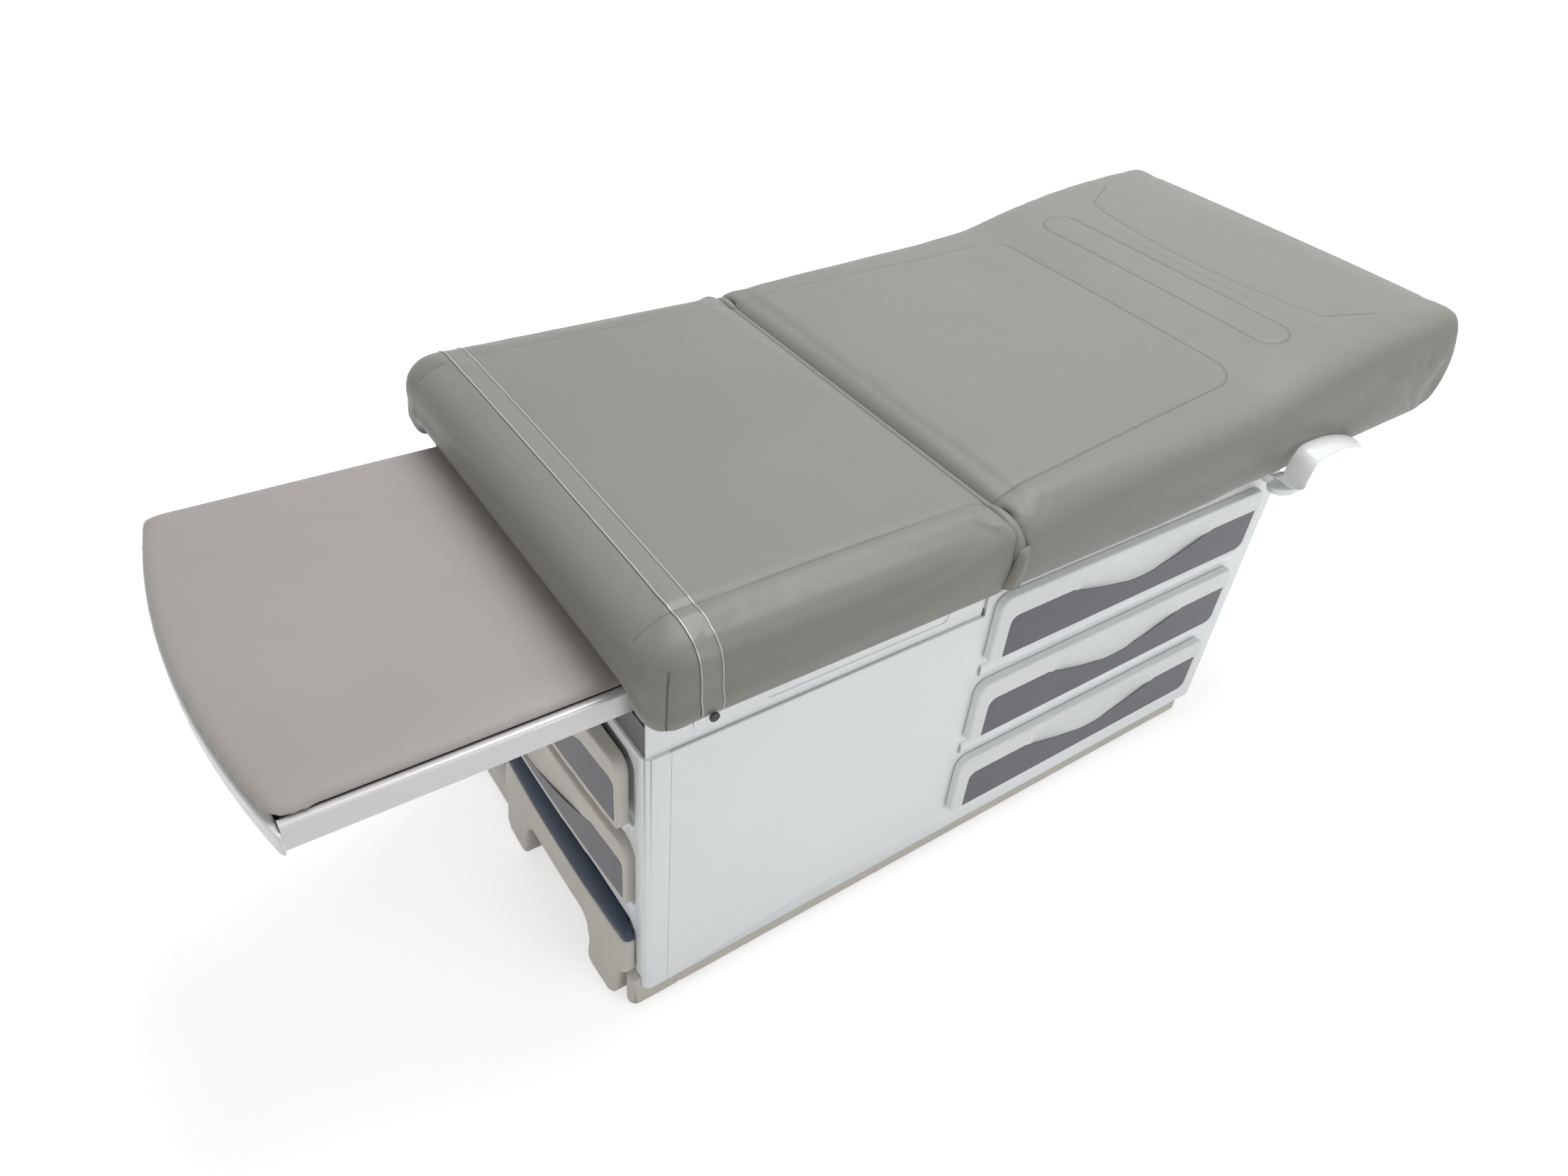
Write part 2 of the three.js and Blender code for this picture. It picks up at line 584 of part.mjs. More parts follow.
// Foot face of the seat as shares inward and upward, then its top as shares of its length
const seatFrontShares = [[0.18, 0.12], [0.03, 0.45]];
const seatTopShares = [0.28, 0.55, 0.85];
function makeSeatCushion() {
  const rings = allStations().map((station) => {
    const { drop = 0, lift = 0, pullShare = 0, inside = false } = station;
    const top = cushion.top + crownAt(stationY(station, seatLine, 0)) - drop;
    const lowAt = (x) => {
      if (inside) {
        return x < seat.footX + pan.footInset - cutOver ? seat.rollLow : cushion.underside;
      }
      return cushion.skirtLow + lift - seat.cornerDrop * (1 - smooth((x - seat.footX) / seat.cornerReach));
    };
    const pull = cushion.cornerPull * pullShare;
    const frontX = seat.footX + pull;
    const radius = Math.min(seat.rollRadius, (top - lowAt(frontX)) / 2);
    const faceX = pivot.x - pivot.creaseGap / 2 - cushion.edgePull * pullShare;
    const rollX = frontX + radius;
    const panX = seat.footX + pan.footInset - revealGap;
    const underX = [panX, panX - cutOver, frontX + seat.tuck];
    const front = seatFrontShares.map(([inShare, upShare]) => (
      [frontX + seat.rollRadius * inShare, between(upShare, lowAt(frontX), top - radius), true]));
    const roll = countTo(arcSteps + 1).map((i) => {
      const a = i * Math.PI / 2 / arcSteps;
      return [rollX - radius * Math.cos(a), top - radius + radius * Math.sin(a), true];
    });
    const crease = creaseEnd(top, faceX, -1);
    const endX = crease[crease.length - 1][0];
    const flat = seatTopShares.map((share) => [between(share, rollX, endX), top, true]);
    const pairs = [
      [faceX, lowAt(faceX)],
      ...underX.map((x) => [x, lowAt(x)]),
      ...front, ...roll, ...flat,
      ...crease.reverse().map(([x, z]) => [x, z, z > pivotZ + channel.depth * 2]),
    ];
    return ringPoints(pairs, station, seatLine, () => 0);
  });
  return cut(loft(rings, sideView), hingeSlot(-1), mirrored(hingeSlot(-1)));
}

// Height of the back section's top, through its named places
const backKnots = [
  [pivot.x, cushion.top], [back.riseX, back.riseTop], [back.slopeX, back.slopeTop],
  [back.ramp1X, back.ramp1Top], [back.ramp2X, back.ramp2Top], [back.flatX, back.flatTop],
  [back.headX, back.headTop],
];
function backTop(x) {
  const last = backKnots.length - 1;
  const after = backKnots.findIndex(([knotX]) => knotX > x);
  const i = after < 0 ? last - 1 : Math.max(after - 1, 0);
  const [[x0, z0], [x1, z1]] = [backKnots[i], backKnots[i + 1]];
  const slope = (a, b) => (b[1] - a[1]) / (b[0] - a[0]);
  const here = i > 0 ? slope(backKnots[i - 1], backKnots[i + 1]) : slope(backKnots[0], backKnots[1]);
  const next = i + 2 <= last ? slope(backKnots[i], backKnots[i + 2]) : 0;
  const t = (x - x0) / (x1 - x0);
  const span = x1 - x0;
  return (2 * t ** 3 - 3 * t ** 2 + 1) * z0 + (t ** 3 - 2 * t ** 2 + t) * span * here
    + (3 * t ** 2 - 2 * t ** 3) * z1 + (t ** 3 - t ** 2) * span * next;
}

function backLine(x) {
  return between(smooth((x - pivot.x) / (back.slopeX - pivot.x)), channel.seatHalf, channel.headHalf);
}
backLine.endX = back.panelEndX;

// Cross channels: the panel's end, the two edges of the band, and the pillow's curved edge
function crossChannels(y) {
  const sweep = back.pillowSweep * (Math.min(y, channel.crossHalf) / channel.crossHalf) ** 2;
  return [back.panelEndX, back.bandFootX, back.bandHeadX, back.pillowX + sweep];
}

// Places along the panel, past the pillow's edge and under the cushion, then the head end outward and upward
const panelShares = [0.1, 0.3, 0.55, 0.8];
const pillowShares = [0.35, 0.65];
const underShares = [0.98, 0.62, 0.3];
const headShares = [
  [-0.1, 0.99], [0.12, 0.95], [0.55, 0.8], [0.9, 0.62], [1, 0.44], [0.86, 0.22], [0.45, 0.05],
];
function makeBackCushion() {
  const rings = allStations().map((station) => {
    const { drop = 0, lift = 0, pullShare = 0, inside = false } = station;
    const topAt = (x) => backTop(x) + crownAt(stationY(station, backLine, x)) - drop;
    const lowAt = (x) => {
      const rise = smooth((x - back.skirtRiseFrom) / (back.skirtRiseTo - back.skirtRiseFrom));
      return inside ? cushion.underside : between(rise, cushion.skirtLow, back.skirtLow) + lift;
    };
    const faceX = pivot.x + pivot.creaseGap / 2 + cushion.edgePull * pullShare;
    const headX = back.headX - cushion.edgePull * pullShare;
    const crease = creaseEnd(topAt(faceX), faceX, 1);
    const startX = crease[crease.length - 1][0];
    const grooves = crossChannels(station.groove ? channel.headHalf : station.y)
      .flatMap((x) => [x - channel.halfWidth, x, x + channel.halfWidth]);
    const gentle = panelShares.map((share) => between(share, startX, back.panelEndX));
    const beyond = pillowShares.map((share) => between(share, back.pillowX + back.pillowSweep, headX));
    const mids = [(back.panelEndX + back.bandFootX) / 2, (back.bandFootX + back.bandHeadX) / 2];
    const topX = [...gentle, ...grooves, ...mids, ...beyond, headX - back.headRound].sort((a, b) => a - b);
    const head = headShares.map(([out, up]) => (
      [headX + out * back.headBulge, between(up, lowAt(headX), topAt(headX))]));
    const underX = underShares.map((share) => between(share, faceX, headX));
    const pairs = [
      [faceX, lowAt(faceX)],
      ...crease.map(([x, z]) => [x, z, z > pivotZ + channel.depth * 2]),
      ...topX.map((x) => [x, topAt(x), true]),
      ...head,
      ...underX.map((x) => [x, lowAt(x)]),
    ];
    const channels = crossChannels(station.y);
    const depthAt = (x) => (channels.includes(x) ? channel.depth : 0);
    return ringPoints(pairs, station, backLine, depthAt);
  });
  return cut(loft(rings, sideView), hingeSlot(1), mirrored(hingeSlot(1)));
}

// Room in the cushions for the hinge on the drawer side
const armY = pivot.earY + pivot.armStep;
function hingeSlot(hand) {
  const outer = -armY - pivot.earThick / 2 - pivot.slotSpare;
  const farX = pivot.x + hand * (pivot.tabReach + pivot.slotSpare);
  return join(
    block([Math.min(farX, pivot.x), Math.max(farX, pivot.x)],
      [outer, cushion.recessStep - cushion.recessHalfWidth], [-reach, pivotZ]),
    barAcross(pivot.earRadius + slideGap, outer, -pivot.earY + pivot.earThick / 2 + pivot.slotSpare,
      pivot.x, pivotZ),
  );
}

// Ear fixed to the chassis, with the pivot pin
function makeHingeBracket() {
  const inner = pivot.earThick / 2 - pivot.earY;
  const outer = -pivot.earThick / 2 - pivot.earY;
  const low = cushion.skirtLow + slideGap;
  const footX = pivot.x - pivot.tabReach;
  const edgeX = pivot.x - pivot.creaseGap;
  const web = polygon([
    [footX, low], [edgeX, low], [edgeX, pivotZ], [pivot.x - pivot.earRadius, pivotZ], [footX, apronTop],
  ]);
  const pinEnd = -armY - pivot.earThick / 2 - seatGap;
  return join(
    extrudeAcross(web, outer, inner),
    barAcross(pivot.earRadius, outer, inner, pivot.x, pivotZ),
    block([footX, edgeX], [outer, -apronY - seatGap], [low, apronTop]),
    barAcross(pivot.pinRadius, pinEnd - pivot.pinHead, inner, pivot.x, pivotZ, smallSides),
    barAcross(pivot.pinHeadRadius, pinEnd - pivot.pinHead, pinEnd, pivot.x, pivotZ, smallSides),
  );
}

// Arm fixed to the back section's pan, turning on the pin
const panLow = apronTop + seatGap;
const panHigh = panLow + pan.thickness;
function makeHingeArm() {
  const inner = pivot.earThick / 2 - armY;
  const outer = -pivot.earThick / 2 - armY;
  const headX = pivot.x + pivot.tabReach;
  const edgeX = pivot.x + pivot.creaseGap;
  const web = polygon([
    [edgeX, panLow], [headX, panLow], [headX, panHigh], [pivot.x + pivot.earRadius, pivotZ], [edgeX, pivotZ],
  ]);
  return cut(
    join(
      extrudeAcross(web, outer, inner),
      barAcross(pivot.earRadius, outer, inner, pivot.x, pivotZ),
      block([pivot.x + pan.creaseInset, headX], [outer, -pan.halfWidth - seatGap], [panLow, panHigh]),
    ),
    barAcross(pivot.pinRadius + seatGap, outer - cutOver, inner + cutOver, pivot.x, pivotZ, smallSides),
  );
}

function makeSeatPan() {
  return block([seat.footX + pan.footInset, pivot.x - pan.creaseInset], [-pan.halfWidth, pan.halfWidth],
    [panLow, panHigh]);
}

// Pan under the back cushion, with lugs for the handle shaft and a fork for the spring
function makeBackPan() {
  const lugs = [-1, 1].map((hand) => {
    const y = hand * handle.lugY;
    return block([handle.shaftX - handle.hubRadius, handle.shaftX + handle.hubRadius],
      [y - handle.lugThick / 2, y + handle.lugThick / 2],
      [handle.shaftZ - handle.hubRadius, panLow + cutOver]);
  });
  const fork = [-1, 1].map((hand) => {
    const inner = hand * (spring.eyeWidth / 2 + slideGap);
    const outer = inner + hand * spring.cheekThick;
    return block([spring.topX - spring.cheekWidth / 2, spring.topX + spring.cheekWidth / 2],
      [Math.min(inner, outer), Math.max(inner, outer)], [spring.topZ - spring.eyeRadius, panLow + cutOver]);
  });
  const plate = block([pivot.x + pan.creaseInset, back.headX - pan.headInset],
    [-pan.halfWidth, pan.halfWidth], [panLow, panHigh]);
  return cut(join(plate, ...lugs, ...fork),
    barAcross(handle.shaftRadius + seatGap, -halfCabinet, halfCabinet, handle.shaftX, handle.shaftZ));
}

function makePaperHolder() {
  const cheeks = [-1, 1].map((hand) => {
    const y = hand * (paperRod.halfLength + paperRod.cheekThick / 2);
    const plate = roundedShape(paperRod.x - paperRod.cheekWidth / 2, paperRod.x + paperRod.cheekWidth / 2,
      paperRod.z - paperRod.cheekWidth / 2, panLow - seatGap, paperRod.cheekWidth / 2 - seatGap, seatGap);
    return extrudeAcross(plate, y - paperRod.cheekThick / 2, y + paperRod.cheekThick / 2);
  });
  const half = paperRod.halfLength + paperRod.cheekThick / 2;
  return join(...cheeks, barAcross(paperRod.radius, -half, half, paperRod.x, paperRod.z, smallSides));
}

// Paper strap over the foot end of the seat, following the cushion's section
function makeStrap() {
  const outward = stationsOutward().filter((s) => !s.groove && !s.middle && !(s.inside === true));
  const profile = outward.map(({ y, drop = 0 }) => [y, cushion.top + crownAt(y) - drop]);
  const rimY = cushion.halfWidth + cushion.bulge;
  const centre = crownPlaces.map((y) => [y, cushion.top + crownAt(y)]);
  const half = [...centre, ...profile, [rimY, strap.lowZ]];
  const offset = (distance) => half.map(([y, z], i) => {
    const [y0, z0] = half[Math.max(i - 1, 0)];
    const [y1, z1] = half[Math.min(i + 1, half.length - 1)];
    const length = Math.hypot(y1 - y0, z1 - z0);
    const low = i === half.length - 1;
    return low ? [y + distance, z] : [y - (z1 - z0) / length * distance, z + (y1 - y0) / length * distance];
  });
  const band = (distance) => {
    const side = offset(distance);
    return [...side.slice(1).reverse().map(([y, z]) => [-y, z]), [0, side[0][1]], ...side.slice(1)];
  };
  const skin = band(seatGap * 2);
  const outer = band(seatGap * 2 + strap.thick);
  return extrudeAlong(polygon([...outer, ...skin.reverse()]), strap.x - strap.width / 2,
    strap.x + strap.width / 2);
}

function makeSnap() {
  const faceY = -cushion.halfWidth - cushion.bulge - seatGap * 3 - strap.thick;
  return barAcross(strap.snapRadius, faceY - strap.snapThick, faceY, strap.x, strap.lowZ + strap.snapRise,
    smallSides);
}

// Leg rest: bowed front edge shared by the tray, its cap and its pad
const bowSteps = 8;
const capInner = legRest.capWall - legRest.capFront;
const capInnerHalf = legRest.halfWidth * Math.sqrt(1 - capInner / legRest.bow);
function bowedX(y) {
  return legRest.cornerX - legRest.bow * (1 - (y / legRest.halfWidth) ** 2);
}

function bowPoints(halfSpan, inset) {
  return countTo(bowSteps * 2 + 1).map((i) => {
    const y = (i / bowSteps - 1) * halfSpan;
    return [bowedX(y) + inset, y];
  });
}

function makeTray() {
  const innerY = legRest.halfWidth - legRest.channelWidth;
  const footX = legRest.cornerX + seatGap;
  const channelShape = roundedShape(-legRest.halfWidth, -innerY, legRest.low, legRest.high,
    legRest.channelWall, legRest.lipRadius);
  const hollow = [
    [legRest.channelWall - legRest.halfWidth, -innerY - legRest.channelWall],
    [legRest.low - cutOver, legRest.high - legRest.lipRadius],
  ];
  const side = cut(extrudeAlong(channelShape, footX, legRest.rearX),
    block([footX - cutOver, legRest.rearX + cutOver], ...hollow));
  const floorY = innerY + legRest.channelWall / 2;
  const floorPlan = polygon([
    ...bowPoints(capInnerHalf, capInner + seatGap), [footX, capInnerHalf], [footX, floorY],
    [legRest.rearX, floorY], [legRest.rearX, -floorY], [footX, -floorY], [footX, -capInnerHalf],
  ].filter(([x, y], i, all) => i === 0 || Math.hypot(x - all[i - 1][0], y - all[i - 1][1]) > seatGap * 2));
  const low = legRest.low + legRest.floorLift;
  return join(side, mirrored(side), extrudeUp(floorPlan, low, low + legRest.floorThick));
}

function makeFrontCap() {
  const outerHalf = legRest.halfWidth + legRest.capSide;
  const frontArc = bowPoints(legRest.halfWidth, -legRest.capFront);
  const plan = polygon([
    [legRest.cornerX, -outerHalf], ...bowPoints(capInnerHalf, capInner), [legRest.cornerX, outerHalf],
    [legRest.cornerX - legRest.capFront / 2, outerHalf], ...frontArc.reverse(),
    [legRest.cornerX - legRest.capFront / 2, -outerHalf],
  ]);
  const solid = new THREE.ExtrudeGeometry(plan, {
    depth: legRest.high - legRest.low - legRest.channelWall * 2, bevelEnabled: true,
    bevelSize: legRest.channelWall, bevelOffset: -legRest.channelWall,
    bevelThickness: legRest.channelWall, bevelSegments: 1, curveSegments: arcSteps,
  });
  return cut(solid.translate(0, 0, legRest.low + legRest.channelWall),
    block([legRest.cornerX - seatGap / 2, reach], everywhere, everywhere));
}

// Padded board: one ring of points at each level, drawn in below so that it drops between the channels
function padRing(inset, z) {
  const hw = legRest.padHalfWidth - inset;
  const footX = legRest.cornerX + inset;
  const headX = legRest.padRearX - inset;
  const r = Math.max(legRest.padRadius - inset, legRest.padRound);
  const corner = (cx, cy, start) => countTo(arcSteps + 1).map((i) => {
    const a = start + i * Math.PI / 2 / arcSteps;
    return [cx + r * Math.cos(a), cy + r * Math.sin(a)];
  });
  const run = ([x0, y0], [x1, y1], parts) => countTo(parts - 1).map((i) => (
    [between((i + 1) / parts, x0, x1), between((i + 1) / parts, y0, y1)]));
  const plan = [
    ...corner(footX + r, r - hw, Math.PI), ...run([footX + r, -hw], [headX - r, -hw], smallArcSteps),
    ...corner(headX - r, r - hw, Math.PI * 3 / 2), ...corner(headX - r, hw - r, 0),
    ...run([headX - r, hw], [footX + r, hw], smallArcSteps), ...corner(footX + r, hw - r, Math.PI / 2),
    ...run([footX, hw - r], [footX, r - hw], bowSteps),
  ];
  return plan.map(([x, y]) => {
    const weight = (headX - x) / (headX - footX);
    return [x - legRest.bow * (1 - (y / legRest.halfWidth) ** 2) * weight, y, z];
  });
}

// Upper levels of the pad: how far in, as a share of its half width, and how high
const padCrownShares = [[0.2, 0.6], [0.55, 1]];
function makePad() {
  const low = legRest.low + legRest.floorLift + legRest.floorThick + seatGap;
  const rim = legRest.high + seatGap * 2;
  const round = legRest.padRound;
  const levels = [
    [legRest.padInset, low], [legRest.padInset, rim], [slideGap, rim + slideGap],
    [0, rim + round / 2], [slideGap, legRest.padTop - round / 3], [round, legRest.padTop],
    ...padCrownShares.map(([inward, up]) => (
      [legRest.padHalfWidth * inward, legRest.padTop + legRest.padCrown * up])),
  ];
  return loft(levels.map(([inset, z]) => padRing(inset, z)), planView);
}

function makeLegRail() {
  const wallY = legRest.halfWidth + slideGap;
  const outerY = apronY - chassis.sheet - seatGap;
  const ledgeTop = legRest.low - seatGap;
  return join(
    block([legRail.footX, legRail.headX], [-outerY, legRail.ledgeReach - legRest.halfWidth],
      [ledgeTop - legRail.thick, ledgeTop]),
    block([legRail.footX, legRail.headX], [-wallY - legRail.thick, -wallY],
      [ledgeTop - legRail.thick, ledgeTop + legRail.rise]),
  );
}

// Outline of a drawer's grey inset: a rounded panel whose top edge dips in a wave over the grip
function insetShape(u0, u1, v0, v1, radius, centre, waveHalf, waveDrop) {
  const shape = new THREE.Shape();
  shape.moveTo(u0, v0);
  shape.lineTo(u1 - radius, v0);
  shape.absarc(u1 - radius, v0 + radius, radius, -Math.PI / 2, 0, false);
  shape.lineTo(u1, v1);
  countTo(waveSteps * 2 + 1).forEach((i) => {
    const u = waveHalf * (1 - i / waveSteps);
    shape.lineTo(centre + u, v1 - waveDrop * (1 - Math.abs(u / waveHalf) ** wavePower));
  });
  shape.lineTo(u0 + radius, v1);
  shape.absarc(u0 + radius, v1 - radius, radius, Math.PI / 2, Math.PI, false);
  shape.lineTo(u0, v0);
  return shape;
}

// Shallow grip from the wave up to the rim: a flattened ball, its sizes and centre given in the front's axes
function gripTool(drawer, i, sized, centred) {
  const waveLow = drawer.insetLow + drawer.insetHeight - drawer.waveDrop + revealGap;
  const half = (drawer.height - drawer.scoopRim - waveLow) / 2;
  const ball = new THREE.SphereGeometry(1, roundSides, smallSides);
  return ball.scale(...sized(drawer.scoopHalf, drawer.scoopDepth, half))
    .translate(...centred(drawerLow(drawer, i) + waveLow + half));
}

// Open box behind a drawer front
function drawerBox([x0, x1], [y0, y1], [z0, z1], wall) {
  return cut(block([x0, x1], [y0, y1], [z0, z1]),
    block([x0 + wall, x1 - wall], [y0 + wall, y1 - wall], [z0 + wall, z1 + cutOver]));
}

const sideWaveX = (sideDrawer.footX + sideDrawer.headX) / 2 + sideDrawer.waveHeadward;
function sideDrawerInset(i, spare, faceY, depth) {
  const low = drawerLow(sideDrawer, i) + sideDrawer.insetLow;
  return extrudeAcross(insetShape(
    sideDrawer.footX + sideDrawer.insetFoot - spare, sideDrawer.headX - sideDrawer.insetHead + spare,
    low - spare, low + sideDrawer.insetHeight + spare, sideDrawer.insetRadius,
    sideWaveX, sideDrawer.waveHalf, sideDrawer.waveDrop,
  ), faceY, faceY + depth, smallArcSteps);
}

function makeSideDrawer(i) {
  const low = drawerLow(sideDrawer, i);
  const faceY = -halfCabinet - sideDrawer.proud;
  const plate = new THREE.ExtrudeGeometry(
    roundedShape(sideDrawer.footX, sideDrawer.headX, low, low + sideDrawer.height, sideDrawer.lowRadius,
      sideDrawer.radius),
    {
      depth: sideDrawer.proud - sideDrawer.bevel - seatGap, bevelEnabled: true,
      bevelSize: sideDrawer.bevel, bevelOffset: -sideDrawer.bevel, bevelThickness: sideDrawer.bevel,
      bevelSegments: 2, curveSegments: arcSteps,
    },
  ).applyMatrix4(ontoSide).translate(0, -halfCabinet - seatGap, 0);
  const grip = gripTool(sideDrawer, i, (a, d, h) => [a, d, h], (z) => [sideWaveX, faceY, z]);
  return {
    front: cut(plate, block(everywhere, [-halfCabinet - seatGap, reach], everywhere),
      sideDrawerInset(i, seatGap, faceY - cutOver, cutOver + sideDrawer.insetThick + seatGap), grip),
    inset: sideDrawerInset(i, 0, faceY, sideDrawer.insetThick),
    box: drawerBox([sideDrawer.footX + sideDrawer.boxInset, sideDrawer.headX - sideDrawer.boxInset],
      [-halfCabinet, sideDrawer.boxDepth - halfCabinet],
      [low + sideDrawer.boxLow, low + sideDrawer.boxLow + sideDrawer.boxHeight], sideDrawer.wall),
  };
}

// Solid between two bowed planes, or from a bowed plane back to the bay in the foot face
const bayX = cabinet.bayDepth - seatGap;
function bowedSlab(drawer, outer, inner, z0, z1) {
  const edge = (proud, y) => -proud - drawer.bow * (1 - (y / drawer.halfWidth) ** 2);
  const ys = countTo(bowSteps * 2 + 1).map((i) => (i / bowSteps - 1) * drawer.halfWidth);
  const front = ys.map((y) => [edge(outer, y), y]);
  const rear = inner === null
    ? [[bayX, drawer.halfWidth], [bayX, -drawer.halfWidth]]
    : ys.map((y) => [edge(inner, y), y]).reverse();
  return extrudeUp(polygon([...front, ...rear]), z0, z1);
}

function footDrawerInset(i, spare) {
  const low = drawerLow(footDrawer, i) + footDrawer.insetLow;
  const side = footDrawer.halfWidth - footDrawer.insetSide;
  const shape = insetShape(-side - spare, side + spare, low - spare, low + footDrawer.insetHeight + spare,
    footDrawer.insetRadius, 0, footDrawer.waveHalf, footDrawer.waveDrop);
  return extrudeAlong(shape, -reach, cabinet.frameDepth, smallArcSteps);
}

function makeFootDrawer(i) {
  const low = drawerLow(footDrawer, i);
  const levels = [low - cutOver, low + footDrawer.height + cutOver];
  const slab = bowedSlab(footDrawer, footDrawer.proud, null, ...levels);
  const outline = roundedShape(-footDrawer.halfWidth, footDrawer.halfWidth, low, low + footDrawer.height,
    footDrawer.lowRadius, footDrawer.radius);
  const face = extrudeAlong(outline, -reach, cabinet.frameDepth);
  const depth = footDrawer.insetThick + seatGap;
  const pocket = common(footDrawerInset(i, seatGap),
    bowedSlab(footDrawer, footDrawer.proud + cutOver, footDrawer.proud - depth, ...levels));
  const grip = gripTool(footDrawer, i, (a, d, h) => [d, a, h],
    (z) => [-footDrawer.proud - footDrawer.bow, 0, z]);
  const boxHalf = footDrawer.halfWidth - footDrawer.boxInset;
  return {
    front: cut(common(slab, face), pocket, grip),
    inset: common(footDrawerInset(i, 0),
      bowedSlab(footDrawer, footDrawer.proud, footDrawer.proud - footDrawer.insetThick, ...levels)),
    box: drawerBox([cabinet.bayDepth, footDrawer.boxDepth], [-boxHalf, boxHalf],
      [low + footDrawer.boxLow, low + footDrawer.boxLow + footDrawer.boxHeight], footDrawer.wall),
  };
}

// Step: bowed front that leans out toward the floor, on two legs, with an open-bottomed box behind it
const stepMid = (step.nearY + step.farY) / 2;
const stepHalf = (step.farY - step.nearY) / 2;
const stepRearX = step.face - step.proud;
function stepFrontX(y) {
  return -step.proud - step.bow * (1 - ((y - stepMid) / stepHalf) ** 2);
}

function stepPlan(rearX) {
  const [near, far, r] = [step.nearY, step.farY, step.cornerRadius];
  const corner = (cy, start) => countTo(arcSteps + 1).map((i) => {
    const a = start + i * Math.PI / 2 / arcSteps;
    return [stepFrontX(near + r) + r + r * Math.cos(a), cy + r * Math.sin(a)];
  });
  const front = countTo(bowSteps - 1).map((i) => {
    const y = between((i + 1) / bowSteps, far - r, near + r);
    return [stepFrontX(y), y];
  });
  return polygon([...corner(near + r, Math.PI), [rearX, near], [rearX, far],
    ...corner(far - r, Math.PI / 2), ...front]);
}

// Front view of the step under its tread: two rounded legs and the arch between them
const stepLegs = [
  [step.nearY + step.legInset, step.nearY + step.legInset + step.legWidth],
  [step.farY - step.legInset - step.legWidth, step.farY - step.legInset],
];
function stepOutline() {
  const [[near0, near1], [far0, far1]] = stepLegs;
  const r = step.footRadius;
  const arch = step.archRadius;
  const shape = new THREE.Shape();
  shape.moveTo(step.nearY, step.low);
  [[near0, near1], [far0, far1]].forEach(([y0, y1]) => {
    shape.lineTo(y0, y0 === near0 ? step.low : step.archTop - arch);
    shape.lineTo(y0, step.legLow + r);
    shape.absarc(y0 + r, step.legLow + r, r, Math.PI, Math.PI * 3 / 2, false);
    shape.lineTo(y1 - r, step.legLow);
    shape.absarc(y1 - r, step.legLow + r, r, -Math.PI / 2, 0, false);
    if (y1 === near1) {
      shape.lineTo(y1, step.archTop - arch);
      shape.absarc(y1 + arch, step.archTop - arch, arch, Math.PI, Math.PI / 2, true);
      shape.lineTo(far0 - arch, step.archTop);
      shape.absarc(far0 - arch, step.archTop - arch, arch, Math.PI / 2, 0, true);
    }
  });
  shape.lineTo(far1, step.low);
  shape.lineTo(step.farY, step.low);
  shape.lineTo(step.farY, step.high);
  shape.lineTo(step.nearY, step.high);
  return shape;
}

// Leans a solid about the tread's lower edge
const stepLean = Math.tan(THREE.MathUtils.degToRad(step.leanDeg));
function leaning(geometry) {
  return geometry.translate(0, 0, -step.treadLow)
    .applyMatrix4(new THREE.Matrix4().makeShear(0, 0, 0, 0, stepLean, 0)).translate(0, 0, step.treadLow);
}

function makeStepBody() {
  const plan = stepPlan(stepRearX + stepLean * (step.treadLow - step.legLow));
  const archLow = step.archTop - step.archRadius;
  const faceTop = step.treadLow - seatGap;
  const legs = stepLegs.map(([y0, y1]) => common(
    extrudeUp(stepPlan(step.legDepth), step.legLow, step.low + cutOver),
    extrudeUp(roundedShape(-step.proud - step.bow, step.legDepth - step.proud, y0, y1, step.legRadius),
      step.legLow - cutOver, step.low + cutOver * 2),
  ));
  const arch = common(extrudeUp(plan, archLow, step.low + cutOver),
    block(everywhere, [stepLegs[0][1] - step.legRadius, stepLegs[1][0] + step.legRadius], everywhere));
  const front = leaning(common(join(extrudeUp(plan, step.low, faceTop), arch, ...legs),
    extrudeAlong(stepOutline(), -reach, reach)));
  const [near, far] = [step.nearY + step.sideInset, step.farY - step.sideInset];
  const boxTop = step.high - step.treadThick - seatGap;
  const shell = cut(
    block([stepRearX - cutOver, step.boxLength], [near, far], [step.low, boxTop]),
    block([stepRearX + step.wall, step.boxLength - step.wall], [near + step.wall, far - step.wall],
      [step.low - cutOver, boxTop - step.wall]),
    block([-reach, stepRearX], everywhere, [faceTop, reach]),
  );
  return join(cut(front,
    block([stepRearX, reach], [-reach, near], [step.low, reach]),
    block([stepRearX, reach], [far, reach], [step.low, reach]),
    block([stepRearX + step.wall, reach], everywhere, [step.low, reach]),
    block([stepRearX, reach], everywhere, [boxTop, reach]),
  ), shell);
}

// Tread with a nose rounded along its front and over both ends
function makeStepTread() {
  const rearX = stepRearX - seatGap;
  const [near, far] = [step.nearY + step.treadInset, step.farY - step.treadInset];
  const noseX = step.noseRadius - step.proud - step.bow;
  const ends = roundedShape(step.nearY, step.farY, step.treadLow - cutOver, step.high, seatGap,
    step.noseRadius);
  const nose = common(
    extrudeUp(stepPlan(rearX), step.treadLow, step.high),
    extrudeAlong(ends, -reach, reach),
    join(
      block([noseX, reach], everywhere, [step.treadLow, step.high]),
      block(everywhere, everywhere, [step.treadLow, step.high - step.noseRadius]),
      barAcross(step.noseRadius, step.nearY - cutOver, step.farY + cutOver, noseX,
        step.high - step.noseRadius, roundSides * 2),
    ),
  );
  return join(
    nose,
    block([rearX - cutOver, step.treadDepth], [near, far], [step.high - step.treadThick, step.high]),
  );
}

